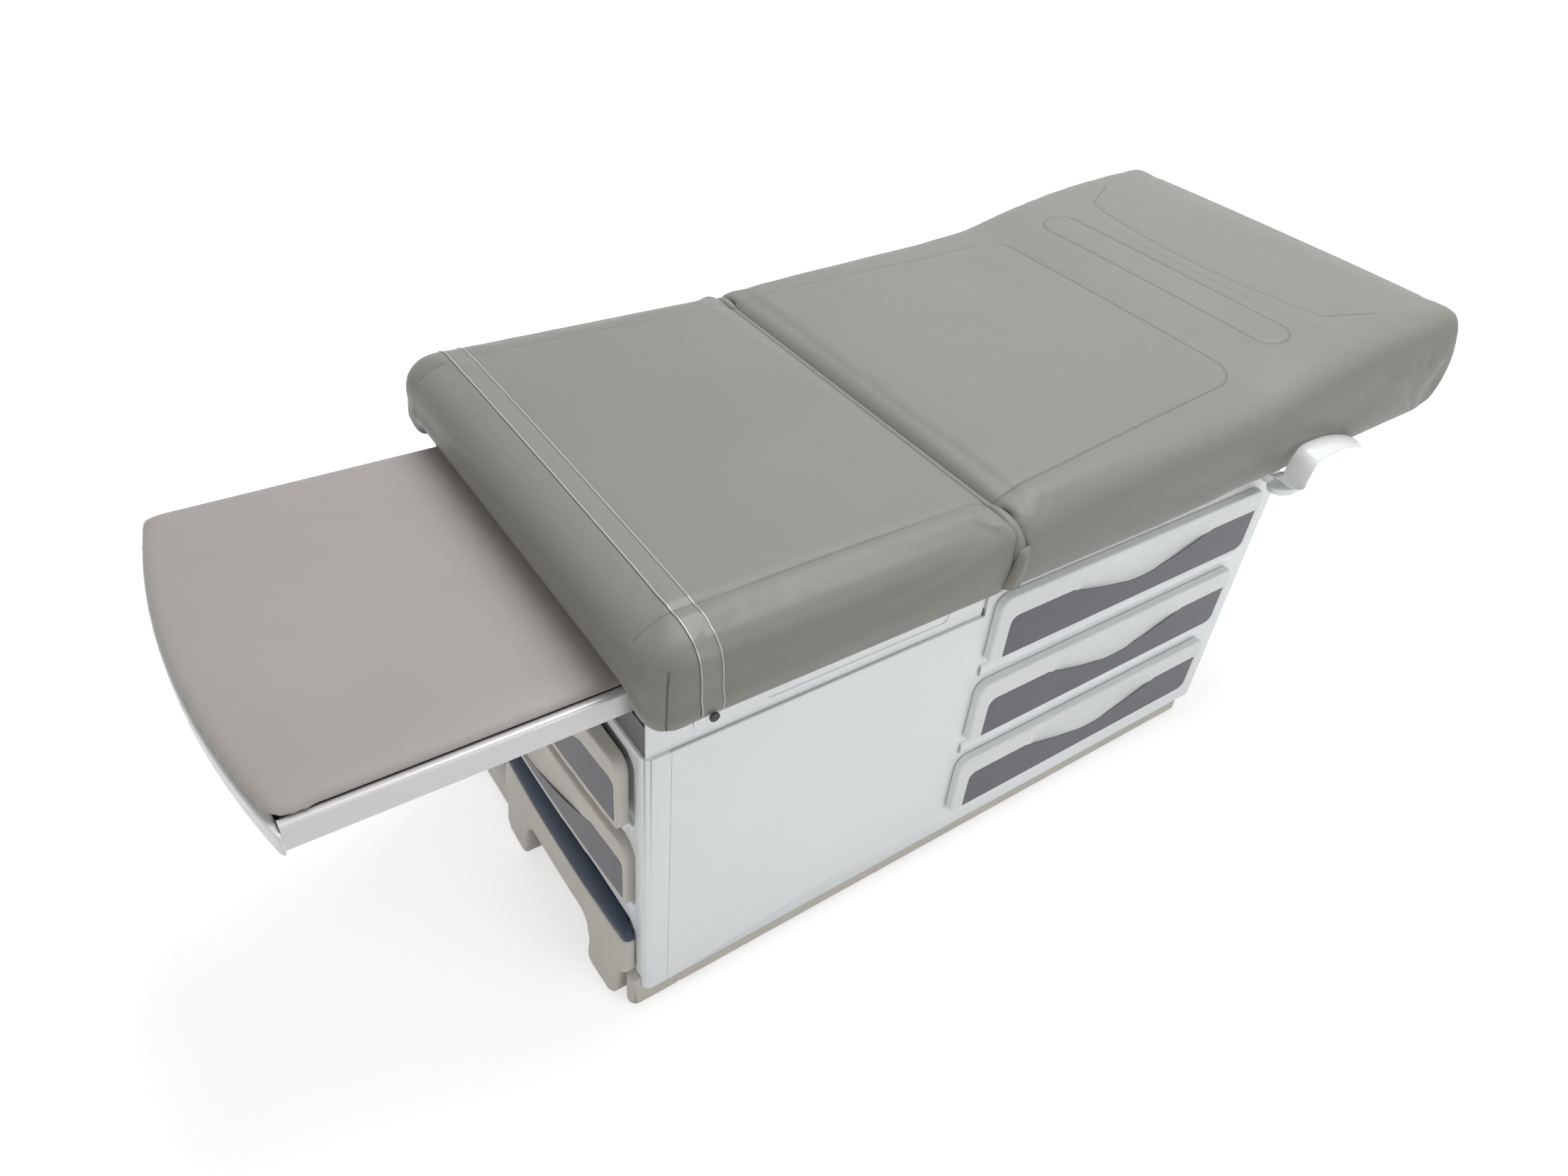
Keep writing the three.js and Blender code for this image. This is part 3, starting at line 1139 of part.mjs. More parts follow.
// Handle: hub on the cross shaft with an oval disc, and an arched blade outside the cushion
function makeShaft() {
  const half = handle.hubY + handle.hubWidth / 2;
  return barAcross(handle.shaftRadius, -half, half, handle.shaftX, handle.shaftZ);
}

function makeLeverBoss() {
  const discTop = handle.discLow + handle.discThick;
  const discRadius = handle.discWidth / 2;
  const disc = new THREE.CylinderGeometry(discRadius, discRadius - revealGap, handle.discThick,
    roundSides * 2)
    .rotateX(Math.PI / 2).scale(handle.discLength / handle.discWidth, 1, 1)
    .translate(handle.discX, -handle.discY, handle.discLow + handle.discThick / 2);
  const hubEnd = handle.hubY + handle.hubWidth;
  const hub = barAcross(handle.hubRadius, -hubEnd, -handle.hubY, handle.shaftX, handle.shaftZ);
  const web = block([handle.shaftX, handle.shaftX + handle.hubRadius * 2],
    [-hubEnd, -hubEnd + handle.hubWidth / 3], [discTop - revealGap, handle.shaftZ]);
  const bore = barAcross(handle.shaftRadius + seatGap, -handle.hubY - handle.hubWidth / 2 - seatGap,
    cutOver - handle.hubY, handle.shaftX, handle.shaftZ);
  return cut(join(disc, hub, web), bore);
}

// Blade from the hub to its tip, as shares: back or ahead of the hub, up to the rise, from there up to the
// peak, outward, and width
const bladePlaceShares = [
  [0, 0, 0, 0, 1], [-0.6, 0.28, 0, 0.55, 1], [-1, 0.62, 0, 1, 1], [-0.96, 1, 0, 1, 1],
  [-0.55, 1, 0.7, 1, 0.97], [0.025, 1, 0.98, 1, 0.93], [0.25, 1, 1, 1, 0.88], [0.5, 1, 0.86, 1, 0.8],
  [0.775, 1, 0.5, 1, 0.72], [1, 1, 0, 1, 0.62],
];
function makeLeverBlade() {
  const startX = handle.shaftX;
  const startZ = handle.shaftZ + handle.hubRadius / 4;
  const outward = cushion.halfWidth + cushion.bulge + handle.clear;
  const tuck = handle.hubY + handle.hubWidth + seatGap;
  const places = bladePlaceShares.map(([along, rise, peak, out, wide]) => ({
    x: startX + along * (along < 0 ? startX - handle.riseX : handle.tipX - startX),
    z: between(rise, startZ, handle.riseZ) + peak * (handle.peakZ - handle.riseZ),
    inner: between(out, tuck, outward),
    outer: outward + handle.bladeWidth * wide,
  }));
  const rings = places.map((p, i) => {
    const a = places[Math.max(i - 1, 0)];
    const b = places[Math.min(i + 1, places.length - 1)];
    const length = Math.hypot(b.x - a.x, b.z - a.z);
    const [nx, nz] = [-(b.z - a.z) / length, (b.x - a.x) / length].map((v) => v * handle.bladeThick / 2);
    const sag = handle.bladeThick / 2 * (i > 1 ? 1 : 0);
    return [
      [p.x + nx, -p.inner, p.z + nz], [p.x + nx, -p.outer, p.z + nz - sag],
      [p.x - nx, -p.outer, p.z - nz - sag], [p.x - nx, -p.inner, p.z - nz],
    ];
  });
  return loft(rings, planView);
}

// Gas spring drawn along +X from its foot eye
const springLength = Math.hypot(spring.topX - spring.baseX, spring.topZ - spring.baseZ);
const springAngle = Math.atan2(spring.topZ - spring.baseZ, spring.topX - spring.baseX);
function springEye(x) {
  return barAcross(spring.eyeRadius, -spring.eyeWidth / 2, spring.eyeWidth / 2, x, 0);
}

function makeSpringTube() {
  return cut(
    join(lengthwise(spring.tubeRadius, spring.neck, spring.tubeEnd), springEye(0),
      lengthwise(spring.rodRadius, spring.eyeRadius / 2, spring.neck + cutOver, smallSides)),
    barAcross(spring.boreRadius, -spring.eyeWidth, spring.eyeWidth, 0, 0, smallSides),
    lengthwise(spring.rodRadius + seatGap, spring.boreStart, spring.tubeEnd + cutOver),
  );
}

function makeSpringRod() {
  return cut(
    join(lengthwise(spring.rodRadius, spring.rodStart, springLength - spring.eyeRadius / 2),
      springEye(springLength)),
    barAcross(spring.boreRadius, -spring.eyeWidth, spring.eyeWidth, springLength, 0, smallSides),
  );
}

// Assembly, its origin on the floor under the middle of the whole table
const table = new THREE.Group();
const footEndX = legRest.cornerX - legRest.bow - legRest.capFront;
table.position.x = -(footEndX + back.headX + back.headBulge) / 2;

function place(name, geometry, look, group = table) {
  const mesh = new THREE.Mesh(geometry, new THREE.MeshStandardMaterial(finish[look]));
  mesh.name = name;
  group.add(mesh);
  return mesh;
}

function placePair(name, geometry, look) {
  place(`${name}_near`, geometry, look);
  place(`${name}_far`, mirrored(geometry), look);
}

place('plinth', makePlinth(), 'warmMoulding');
levelFootPlaces.forEach(([x, y], i) => {
  place(`levelling_foot_${i + 1}`, makeLevelFoot(), 'blackSteel').position.set(x, y, 0);
});
place('foot_frame', makeFootFrame(), 'whitePaint');
place('near_side_panel', makeDrawerSidePanel(), 'whitePaint');
place('far_side_panel', mirrored(makeSidePanel()), 'whitePaint');
place('head_panel', makeHeadPanel(), 'whitePaint');
place('bulkhead_foot', makeBulkhead(bulkheadFootX, 1), 'steel');
place('bulkhead_head', makeBulkhead(bulkheadHeadX, -1), 'steel');
place('chassis', makeChassis(), 'whitePaint');
place('foot_recess_plate', makeRecessPlate(), 'darkPaint');
placePair('foot_drawer_rack', makeFootRack(), 'steel');
place('step_rail_near', makeStepRail(step.nearY + step.sideInset, -1), 'steel');
place('step_rail_far', makeStepRail(step.farY - step.sideInset, 1), 'steel');

place('seat_pan', makeSeatPan(), 'steel');
place('seat_cushion', makeSeatCushion(), 'vinyl');
place('paper_strap', makeStrap(), 'clearVinyl');
placePair('strap_snap', makeSnap(), 'blackSteel');
placePair('hinge_bracket', makeHingeBracket(), 'steel');
placePair('hinge_arm', makeHingeArm(), 'steel');
place('back_pan', makeBackPan(), 'steel');
place('back_cushion', makeBackCushion(), 'vinyl');
place('paper_roll_holder', makePaperHolder(), 'steel');

place('release_shaft', makeShaft(), 'steel');
placePair('lever_boss', makeLeverBoss(), 'whiteMoulding');
placePair('release_lever', makeLeverBlade(), 'whiteMoulding');
const springLine = new THREE.Group();
springLine.position.set(spring.baseX, 0, spring.baseZ);
springLine.rotation.y = -springAngle;
table.add(springLine);
place('gas_spring_cylinder', makeSpringTube(), 'blackSteel', springLine);
place('gas_spring_rod', makeSpringRod(), 'steel', springLine);

place('extension_tray', makeTray(), 'silverPaint');
place('extension_front_cap', makeFrontCap(), 'whiteMoulding');
place('extension_pad', makePad(), 'padVinyl');
placePair('extension_rail', makeLegRail(), 'steel');

countTo(sideDrawer.count).forEach((i) => {
  const drawer = makeSideDrawer(i);
  place(`side_drawer_${i + 1}_front`, drawer.front, 'whiteMoulding');
  place(`side_drawer_${i + 1}_inset`, drawer.inset, 'greyInset');
  place(`side_drawer_${i + 1}_box`, drawer.box, 'whitePaint');
});
countTo(footDrawer.count).forEach((i) => {
  const drawer = makeFootDrawer(i);
  const runner = new THREE.Group();
  runner.position.x = -footDrawer.ajar[i];
  table.add(runner);
  place(`foot_drawer_${i + 1}_front`, drawer.front, 'warmMoulding', runner);
  place(`foot_drawer_${i + 1}_inset`, drawer.inset, 'greyInset', runner);
  place(`foot_drawer_${i + 1}_box`, drawer.box, 'whitePaint', runner);
});
place('step_body', makeStepBody(), 'warmMoulding');
place('step_tread', makeStepTread(), 'navyRubber');

export default table;
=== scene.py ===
# %% [markdown]
# # An examination table, dressed in Blender
# The solids of the table come from a CAD model and stay where they are. This file gives each of them a
# finish, and puts softer or finer pieces where a plain solid can't carry the look: the upholstery, the
# moulded drawer fronts, the levers and the sheet metal's rounded turns.
# Everything is in metres. The foot end faces -X, the drawer side faces -Y and the floor is z = 0.

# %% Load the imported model
import json
import math
import bpy
import numpy as np
from mathutils import Matrix, Vector


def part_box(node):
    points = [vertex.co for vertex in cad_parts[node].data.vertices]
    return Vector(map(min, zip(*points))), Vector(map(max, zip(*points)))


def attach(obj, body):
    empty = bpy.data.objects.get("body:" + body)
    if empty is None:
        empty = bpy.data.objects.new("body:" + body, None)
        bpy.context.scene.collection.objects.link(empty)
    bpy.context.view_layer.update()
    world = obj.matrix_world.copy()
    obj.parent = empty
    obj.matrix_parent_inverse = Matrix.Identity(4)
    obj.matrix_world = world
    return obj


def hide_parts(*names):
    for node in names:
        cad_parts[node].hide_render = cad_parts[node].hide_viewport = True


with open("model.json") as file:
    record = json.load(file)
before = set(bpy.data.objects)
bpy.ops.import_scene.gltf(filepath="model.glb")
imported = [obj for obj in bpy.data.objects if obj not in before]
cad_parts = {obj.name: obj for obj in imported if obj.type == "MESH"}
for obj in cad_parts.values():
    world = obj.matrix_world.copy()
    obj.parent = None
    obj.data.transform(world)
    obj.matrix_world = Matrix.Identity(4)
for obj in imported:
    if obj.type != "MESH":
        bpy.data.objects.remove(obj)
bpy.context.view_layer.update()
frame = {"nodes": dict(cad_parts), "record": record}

scene = bpy.context.scene
nodes = frame["nodes"]

SIDES = ((-1, "near"), (1, "far"))
# Lengths along the table were measured from the cabinet's foot face, which stands here in the model
FOOT_FACE = -0.5275

# %% [markdown]
# ## The studio
# The photograph looks down on the table from the foot end, over the drawer side. The camera stands where
# the photographer did, with the same wide lens, and leans a little, as theirs did.

# %% Camera
camera_data = bpy.data.cameras.new("camera")
camera_data.sensor_width = 36
camera_data.lens = 25.648
camera_data.shift_x = -0.02882
camera_data.shift_y = -0.00416
camera_data.clip_start = 0.05
camera = bpy.data.objects.new("camera", camera_data)
camera.location = (-0.925127, -1.033574, 1.438468)
camera.rotation_euler = [math.radians(a) for a in (51.18273, -5.85570, -35.88197)]
scene.collection.objects.link(camera)
scene.camera = camera

# %% [markdown]
# The surroundings are white to the camera and to anything glossy or clear, but light the table only softly.
# Three large lamps do the rest: one overhead, a weaker one over the drawer side, and a weak one at the foot
# end, which is the darkest side in the photograph.

# %% World and lamps
SEEN_WORLD = 1.0
LIT_WORLD = 0.32
LAMP_SIZE = 2.2
FOOT_LAMP_SIZE = 2.0
FOOT_LAMP_TINT = (1.0, 0.97, 0.94)
scene.view_settings.view_transform = "Standard"


def seen_or_lit(tree, seen, lit):
    """A strength that is one number for camera, glossy and clear rays and another for light on the table."""
    path = tree.nodes.new("ShaderNodeLightPath")
    looked_at = path.outputs["Is Camera Ray"]
    for ray in ("Is Glossy Ray", "Is Transmission Ray"):
        either = tree.nodes.new("ShaderNodeMath")
        either.operation = "MAXIMUM"
        tree.links.new(looked_at, either.inputs[0])
        tree.links.new(path.outputs[ray], either.inputs[1])
        looked_at = either.outputs[0]
    mix = tree.nodes.new("ShaderNodeMapRange")
    mix.inputs["To Min"].default_value = lit
    mix.inputs["To Max"].default_value = seen
    tree.links.new(looked_at, mix.inputs["Value"])
    return mix.outputs["Result"]


def lamp(name, place, aim, size, power, tint=(1, 1, 1)):
    """A round area lamp that faces its aim."""
    data = bpy.data.lights.new(name, "AREA")
    data.shape = "DISK"
    data.size = size
    data.energy = power
    data.color = tint
    placed = bpy.data.objects.new(name, data)
    placed.location = place
    placed.rotation_euler = (Vector(aim) - Vector(place)).to_track_quat("-Z", "Y").to_euler()
    scene.collection.objects.link(placed)


world = bpy.data.worlds.new("studio")
world.use_nodes = True
scene.world = world
sky = world.node_tree.nodes["Background"]
sky.inputs["Color"].default_value = (1, 1, 1, 1)
world.node_tree.links.new(seen_or_lit(world.node_tree, SEEN_WORLD, LIT_WORLD), sky.inputs["Strength"])

lamp("overhead", (0.7, 0.3, 3.2), (0.1, 0.0, 0.6), LAMP_SIZE, 70)
lamp("drawer_side", (0.9, -3.0, 1.5), (0.1, -0.3, 0.3), LAMP_SIZE, 25)
lamp("foot_end", (-3.0, -0.6, 1.1), (-0.6, 0.0, 0.4), FOOT_LAMP_SIZE, 13, FOOT_LAMP_TINT)

# %% [markdown]
# ## Finishes
# A real finish is never one flat colour. Each one below starts from a Principled shader and gets a slow
# drift of colour and roughness, and a fine bump at the scale of the real surface. Patterns read Object
# coordinates, which are metres on the table, so a grain is the same size on every piece.

# %% Helpers for node trees
BEVEL_SAMPLES = 4
# A noise texture's useful range
NOISE_LOW, NOISE_HIGH = 0.3, 0.7


class Finish:
    """A material under construction, with short calls for the few nodes that the finishes share."""

    def __init__(self, name):
        self.name = name
        self.material = bpy.data.materials.new(name)
        self.material.use_nodes = True
        self.tree = self.material.node_tree
        self.shader = self.tree.nodes["Principled BSDF"]
        self.where = self.tree.nodes.new("ShaderNodeTexCoord").outputs["Object"]
        self.normal = None

    def feed(self, socket, value):
        """Links the socket to another node's output, or sets it to a plain value."""
        if isinstance(value, bpy.types.NodeSocket):
            self.tree.links.new(value, socket)
        else:
            socket.default_value = value

    def put(self, **values):
        """Sets or links the shader's inputs by name, an underscore standing for a space."""
        for key, value in values.items():
            self.feed(self.shader.inputs[key.replace("_", " ")], value)
        return self

    def node(self, kind, **values):
        """A new node with its inputs set or linked by name."""
        made = self.tree.nodes.new(kind)
        for key, value in values.items():
            self.feed(made.inputs[key.replace("_", " ")], value)
        return made

    def math(self, operation, *values, clamp=False):
        made = self.tree.nodes.new("ShaderNodeMath")
        made.operation = operation
        made.use_clamp = clamp
        for socket, value in zip(made.inputs, values):
            self.feed(socket, value)
        return made.outputs[0]

    def noise(self, scale, detail=2.0, roughness=0.5, stretch=None):
        where = self.where
        if stretch:
            where = self.node("ShaderNodeMapping", Vector=where, Scale=stretch).outputs[0]
        made = self.node("ShaderNodeTexNoise", Vector=where, Scale=scale, Detail=detail, Roughness=roughness)
        return made.outputs["Fac"]

    def ramp(self, value, low, high, a, b):
        """Runs from a to b as the value runs from low to high."""
        made = self.node("ShaderNodeMapRange", Value=value, From_Min=low, From_Max=high, To_Min=a, To_Max=b)
        return made.outputs["Result"]

    def drift(self, scale, detail, a, b, roughness=0.5):
        """A noise that runs from a to b."""
        return self.ramp(self.noise(scale, detail, roughness), NOISE_LOW, NOISE_HIGH, a, b)

    def blend(self, share, a, b):
        """Colour a at share 0 and colour b at share 1."""
        made = self.tree.nodes.new("ShaderNodeMix")
        made.data_type = "RGBA"
        share_socket, a_socket, b_socket = made.inputs[0], made.inputs[6], made.inputs[7]
        self.feed(share_socket, share)
        self.feed(a_socket, a)
        self.feed(b_socket, b)
        return made.outputs[2]

    def bump(self, height, strength, distance):
        """Adds a bump over what the normal already is. Its distance is in metres."""
        made = self.node("ShaderNodeBump", Height=height, Strength=strength, Distance=distance)
        if self.normal is not None:
            self.tree.links.new(self.normal, made.inputs["Normal"])
        self.normal = made.outputs["Normal"]
        return self.put(Normal=self.normal)

    def soft_edges(self, radius):
        """Rounds the shading of a CAD solid's sharp edges, as paint and moulding round the real ones."""
        made = self.node("ShaderNodeBevel", Radius=radius)
        made.samples = BEVEL_SAMPLES
        self.normal = made.outputs["Normal"]
        return self.put(Normal=self.normal)


def to_linear(value):
    """Linear light from one channel of the 0 to 255 colour that a colour picker shows."""
    value = value / 255
    return value / 12.92 if value <= 10 / 255 else ((value + 0.055) / 1.055) ** 2.4


def tone(r, g, b):
    return (to_linear(r), to_linear(g), to_linear(b), 1.0)


def shade(colour, share):
    return tuple(min(v * share, 1.0) for v in colour[:3]) + (1.0,)


def drifting(finish, colour, spread, scale):
    """Colour that drifts a little lighter and darker over the piece."""
    share = finish.drift(scale, 3.0, 0, 1, roughness=0.55)
    return finish.put(Base_Color=finish.blend(share, shade(colour, 1 - spread), shade(colour, 1 + spread)))


def moulded(name, colour, roughness=0.42):
    """Moulded plastic: a very fine spark texture and faint flow in its gloss."""
    finish = Finish(name).put(IOR=1.46).soft_edges(0.0012)
    drifting(finish, colour, spread=0.02, scale=9)
    finish.put(Roughness=finish.drift(26, 2, roughness - 0.05, roughness + 0.05))
    return finish.bump(finish.noise(1500), strength=0.12, distance=0.0002)


def painted(name, colour, roughness=0.33, metallic=0.0):
    """Powder coat on sheet steel: a soft orange peel, a little gloss."""
    finish = Finish(name).put(Metallic=metallic).soft_edges(0.0012)
    drifting(finish, colour, spread=0.015, scale=5)
    finish.put(Roughness=finish.drift(14, 3, roughness - 0.04, roughness + 0.06))
    return finish.bump(finish.noise(420), strength=0.08, distance=0.0003)


def bare_steel(name, colour, roughness=0.32):
    """Rolled steel with faint scratches along X."""
    finish = Finish(name).put(Metallic=0.9).soft_edges(0.0008)
    drifting(finish, colour, spread=0.06, scale=20)
    scratches = finish.noise(240, 3, 0.6, stretch=(0.04, 1, 1))
    finish.put(Roughness=finish.ramp(scratches, NOISE_LOW, NOISE_HIGH, roughness - 0.08, roughness + 0.1))
    return finish.bump(scratches, strength=0.08, distance=0.0002)


# %% Finishes of the solids
white_paint = painted("white_paint", tone(236, 241, 242))
white_moulding = moulded("white_moulding", tone(226, 230, 229))
warm_moulding = moulded("warm_moulding", tone(200, 196, 188), roughness=0.48)
gloss_white = moulded("gloss_white", tone(232, 236, 234), roughness=0.22)
dark_paint = painted("dark_paint", tone(92, 94, 98), roughness=0.45)
silver_paint = painted("silver_paint", tone(214, 213, 213), roughness=0.3, metallic=0.2)
steel = bare_steel("steel", tone(160, 165, 168))
black_steel = painted("black_steel", tone(44, 45, 47), roughness=0.35, metallic=0.3)

grey_inset = Finish("grey_inset").put(Roughness=0.36, Specular_IOR_Level=0.22)
drifting(grey_inset, tone(96, 96, 103), spread=0.03, scale=14)
grey_inset.bump(grey_inset.noise(900, detail=1), strength=0.06, distance=0.0002)

navy_rubber = Finish("navy_rubber").put(Roughness=0.55).soft_edges(0.003)
drifting(navy_rubber, tone(46, 58, 76), spread=0.08, scale=30)
navy_rubber.bump(navy_rubber.noise(700, detail=3), strength=0.35, distance=0.0004)

thread = drifting(Finish("thread").put(Roughness=0.7), tone(84, 79, 73), spread=0.08, scale=200)

# %% [markdown]
# ## Vinyl
# The upholstery is a smooth taupe vinyl. Up close it has a fine leather-like pebble; from a distance it
# is even and a little shiny where it bends away from the eye. Along its pressed seams the colour is painted
# darker, a painted shade of their grooves, over a bump for each groove. The seams are carried by an
# attribute on the mesh, the distance from each point to the nearest seam.

# %% Vinyl finish
SEAM_GAP = "seam_gap"
SEAM_LINE = 0.0022      # how far a seam's painted shade line and its groove spread to each side
NO_SEAM = 1.0


def vinyl(name, colour):
    finish = Finish(name).put(IOR=1.5, Specular_IOR_Level=0.28)
    base = finish.blend(finish.drift(4, 3, 0, 1, roughness=0.55), shade(colour, 0.97), shade(colour, 1.03))
    seam = finish.tree.nodes.new("ShaderNodeAttribute")
    seam.attribute_name = SEAM_GAP
    gap = finish.math("ABSOLUTE", seam.outputs["Fac"])
    # The seam line is 1 on a seam and 0 at SEAM_LINE from it. It darkens the colour there as painted shade
    # of the pressed groove, and it also drives the groove's bump.
    line = finish.math("SUBTRACT", 1.0, finish.math("DIVIDE", gap, SEAM_LINE, clamp=True), clamp=True)
    painted_seam_shade = finish.math("MULTIPLY", line, 0.42)
    finish.put(Base_Color=finish.blend(painted_seam_shade, base, shade(colour, 0.55)))
    finish.put(Roughness=finish.drift(60, 3, 0.42, 0.52))
    pebble = finish.node("ShaderNodeTexVoronoi", Vector=finish.where, Scale=950)
    finish.bump(pebble.outputs["Distance"], strength=0.10, distance=0.0003)
    finish.bump(finish.noise(130), strength=0.05, distance=0.0006)
    return finish.bump(finish.math("MULTIPLY", line, -1.0), strength=0.8, distance=0.0012)


seat_vinyl = vinyl("seat_vinyl", tone(134, 133, 127))
pad_vinyl = vinyl("pad_vinyl", tone(167, 162, 158))

# %% [markdown]
# ## Clear vinyl
# A strip of clear vinyl holds the paper down at the foot end. It is nearly invisible on the upholstery:
# what shows is its two heat-sealed edges and its gloss, so the finish is a clear film with denser edges.

# %% Clear vinyl finish
STRAP_X = 0.050 + FOOT_FACE
STRAP_HALF = 0.0135
SEAL_INNER, SEAL_OUTER = STRAP_HALF - 0.0019, STRAP_HALF - 0.0011
CLEAR_ALPHA, SEAL_ALPHA = 0.13, 0.78
clear_vinyl = Finish("clear_vinyl").put(Roughness=0.07, IOR=1.55, Base_Color=tone(196, 194, 186))
along_table = clear_vinyl.node("ShaderNodeSeparateXYZ", Vector=clear_vinyl.where).outputs["X"]
from_middle = clear_vinyl.math("ABSOLUTE", clear_vinyl.math("SUBTRACT", along_table, STRAP_X))
clear_vinyl.put(Alpha=clear_vinyl.ramp(from_middle, SEAL_INNER, SEAL_OUTER, CLEAR_ALPHA, SEAL_ALPHA))
clear_vinyl.bump(clear_vinyl.noise(90), strength=0.1, distance=0.0006)

# %% Every solid gets the finish of its slot
solid_finishes = (white_paint, white_moulding, warm_moulding, dark_paint, silver_paint, steel, black_steel,
                  grey_inset, navy_rubber, seat_vinyl, pad_vinyl, clear_vinyl)
by_slot = {finish.name: finish for finish in solid_finishes}
slot_of = {part["node"]: part["material_slot"] for part in frame["record"]["subparts"]}
for name, solid in nodes.items():
    solid.data.materials.clear()
    solid.data.materials.append(by_slot[slot_of[name]].material)
print("finishes", sorted(by_slot))

# %% [markdown]
# ## Working as by hand
# Most pieces below are a copy of a solid or a primitive that is shaped further, so a few helpers select a
# piece, run an edit mode tool on it, and apply what was done.

# %% Selecting and applying
WELD = 0.00005


def alone(piece):
    """Leaves only this piece selected and active, in object mode."""
    if bpy.context.object and bpy.context.object.mode != "OBJECT":
        bpy.ops.object.mode_set(mode="OBJECT")
    bpy.ops.object.select_all(action="DESELECT")
    piece.select_set(True)
    bpy.context.view_layer.objects.active = piece
    return piece


def edit_all(piece, tool, **values):
    """Runs an edit mode tool on the whole mesh."""
    alone(piece)
    bpy.ops.object.mode_set(mode="EDIT")
    bpy.ops.mesh.select_all(action="SELECT")
    tool(**values)
    bpy.ops.object.mode_set(mode="OBJECT")


def finish_modifiers(piece):
    alone(piece)
    for modifier in list(piece.modifiers):
        bpy.ops.object.modifier_apply(modifier=modifier.name)


def primitive(name, add, **values):
    """A primitive at the origin, alone and under its own name."""
    bpy.ops.object.select_all(action="DESELECT")
    add(location=(0, 0, 0), **values)
    bpy.context.object.name = name
    return bpy.context.object


def copy_of_solid(node, name):
    """A separate, welded copy of a CAD solid, to be shaped further."""
    piece = bpy.data.objects.new(name, nodes[node].data.copy())
    scene.collection.objects.link(piece)
    edit_all(piece, bpy.ops.mesh.remove_doubles, threshold=WELD)
    return piece


def even_net(piece, voxel, smooth_rounds):
    """Remeshes the piece to an even net and smooths it."""
    net = piece.modifiers.new("net", "REMESH")
    net.mode = "VOXEL"
    net.voxel_size = voxel
    soften = piece.modifiers.new("soften", "SMOOTH")
    soften.factor = 0.5
    soften.iterations = smooth_rounds
    finish_modifiers(piece)


def dress(piece, finish, slot, body, *replaced):
    """Gives a piece its finish and its body, and hides the solids that it stands for."""
    piece.data.materials.clear()
    piece.data.materials.append(finish.material)
    if replaced:
        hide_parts(*replaced)
    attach(piece, body)
    print(piece.name, len(piece.data.polygons), "faces on", body)


def points(piece):
    flat = np.empty(len(piece.data.vertices) * 3)
    piece.data.vertices.foreach_get("co", flat)
    return flat.reshape(-1, 3)


def set_points(piece, places):
    piece.data.vertices.foreach_set("co", np.ascontiguousarray(places, dtype=np.float32).ravel())
    piece.data.update()


def point_normals(piece):
    flat = np.empty(len(piece.data.vertices) * 3)
    piece.data.vertices.foreach_get("normal", flat)
    return flat.reshape(-1, 3)


def share_between(values, low, high):
    """0 up to low, 1 from high, and even between."""
    return np.clip((values - low) / (high - low), 0, 1)


# %% [markdown]
# ## The floor
# The floor is a matt white that takes the table's soft shadow. To the camera it also glows, more so with
# distance, and so melts into the white of the surroundings.

# %% Floor
GLOW_NEAR, GLOW_FAR = 0.55, 0.92
GLOW_FROM, GLOW_TO = 1.6, 7.0
floor = primitive("floor", bpy.ops.mesh.primitive_plane_add, size=90)
floor_white = Finish("floor_white").put(Base_Color=(0.86, 0.86, 0.86, 1), Roughness=0.9,
                                        Specular_IOR_Level=0.1, Emission_Color=(1, 1, 1, 1))
away = floor_white.tree.nodes.new("ShaderNodeVectorMath")
away.operation = "LENGTH"
floor_white.feed(away.inputs[0], floor_white.where)
glow = floor_white.ramp(away.outputs["Value"], GLOW_FROM, GLOW_TO, GLOW_NEAR, GLOW_FAR)
only_seen = seen_or_lit(floor_white.tree, 1.0, 0.0)
floor_white.put(Emission_Strength=floor_white.math("MULTIPLY", only_seen, glow))
floor.data.materials.append(floor_white.material)

# %% [markdown]
# ## Upholstery
# Foam under vinyl swells a little between the lines that hold it. The CAD solid gives the blank: it is
# drawn in, remeshed to an even net, blown up as cloth with its underside pinned, and held to within a few
# millimetres of the blank. The pressed seams come last, because the net is coarser than a seam.

# %% Stuffing a blank
STUFFING_FRAMES = 16
STUFFING_PRESSURE = 4.0
SKIRT_LOW = 0.612       # below this height a cushion's skirt is held
CREASE_HELD = 0.03      # and this far from the crease


def blow_up(piece, start, cap, pinned):
    """Fills the piece as a cloth bag, no point further than cap from where it was."""
    hold = piece.vertex_groups.new(name="hold")
    hold.add(np.nonzero(pinned(start))[0].tolist(), 1.0, "REPLACE")
    cloth = piece.modifiers.new("stuffing", "CLOTH")
    cloth.settings.quality = 5
    cloth.settings.mass = 0.3
    cloth.settings.use_pressure = True
    cloth.settings.uniform_pressure_force = STUFFING_PRESSURE
    cloth.settings.vertex_group_mass = "hold"
    cloth.settings.effector_weights.gravity = 0
    cloth.settings.tension_stiffness = 12
    cloth.settings.compression_stiffness = 8
    cloth.settings.bending_stiffness = 1.5
    for step in range(1, STUFFING_FRAMES + 1):
        scene.frame_set(step)
    finish_modifiers(piece)
    scene.frame_set(1)
    moved = points(piece) - start
    far = np.linalg.norm(moved, axis=1)
    set_points(piece, start + moved * np.minimum(1.0, cap / np.maximum(far, 1e-9))[:, None])
    piece.vertex_groups.clear()
    print(piece.name, "swelled by up to", round(float(far.max()) * 1000, 1), "mm")


def stuff(piece, voxel, draw_in, cap, pinned, smooth_rounds=3):
    """Remeshes a blank, blows it up and doubles its net."""
    edit_all(piece, bpy.ops.transform.shrink_fatten, value=-draw_in)
    even_net(piece, voxel, smooth_rounds)
    blow_up(piece, points(piece), cap, pinned)
    finer = piece.modifiers.new("finer", "SUBSURF")
    finer.levels = finer.render_levels = 1
    finish_modifiers(piece)
    bpy.ops.object.shade_smooth()


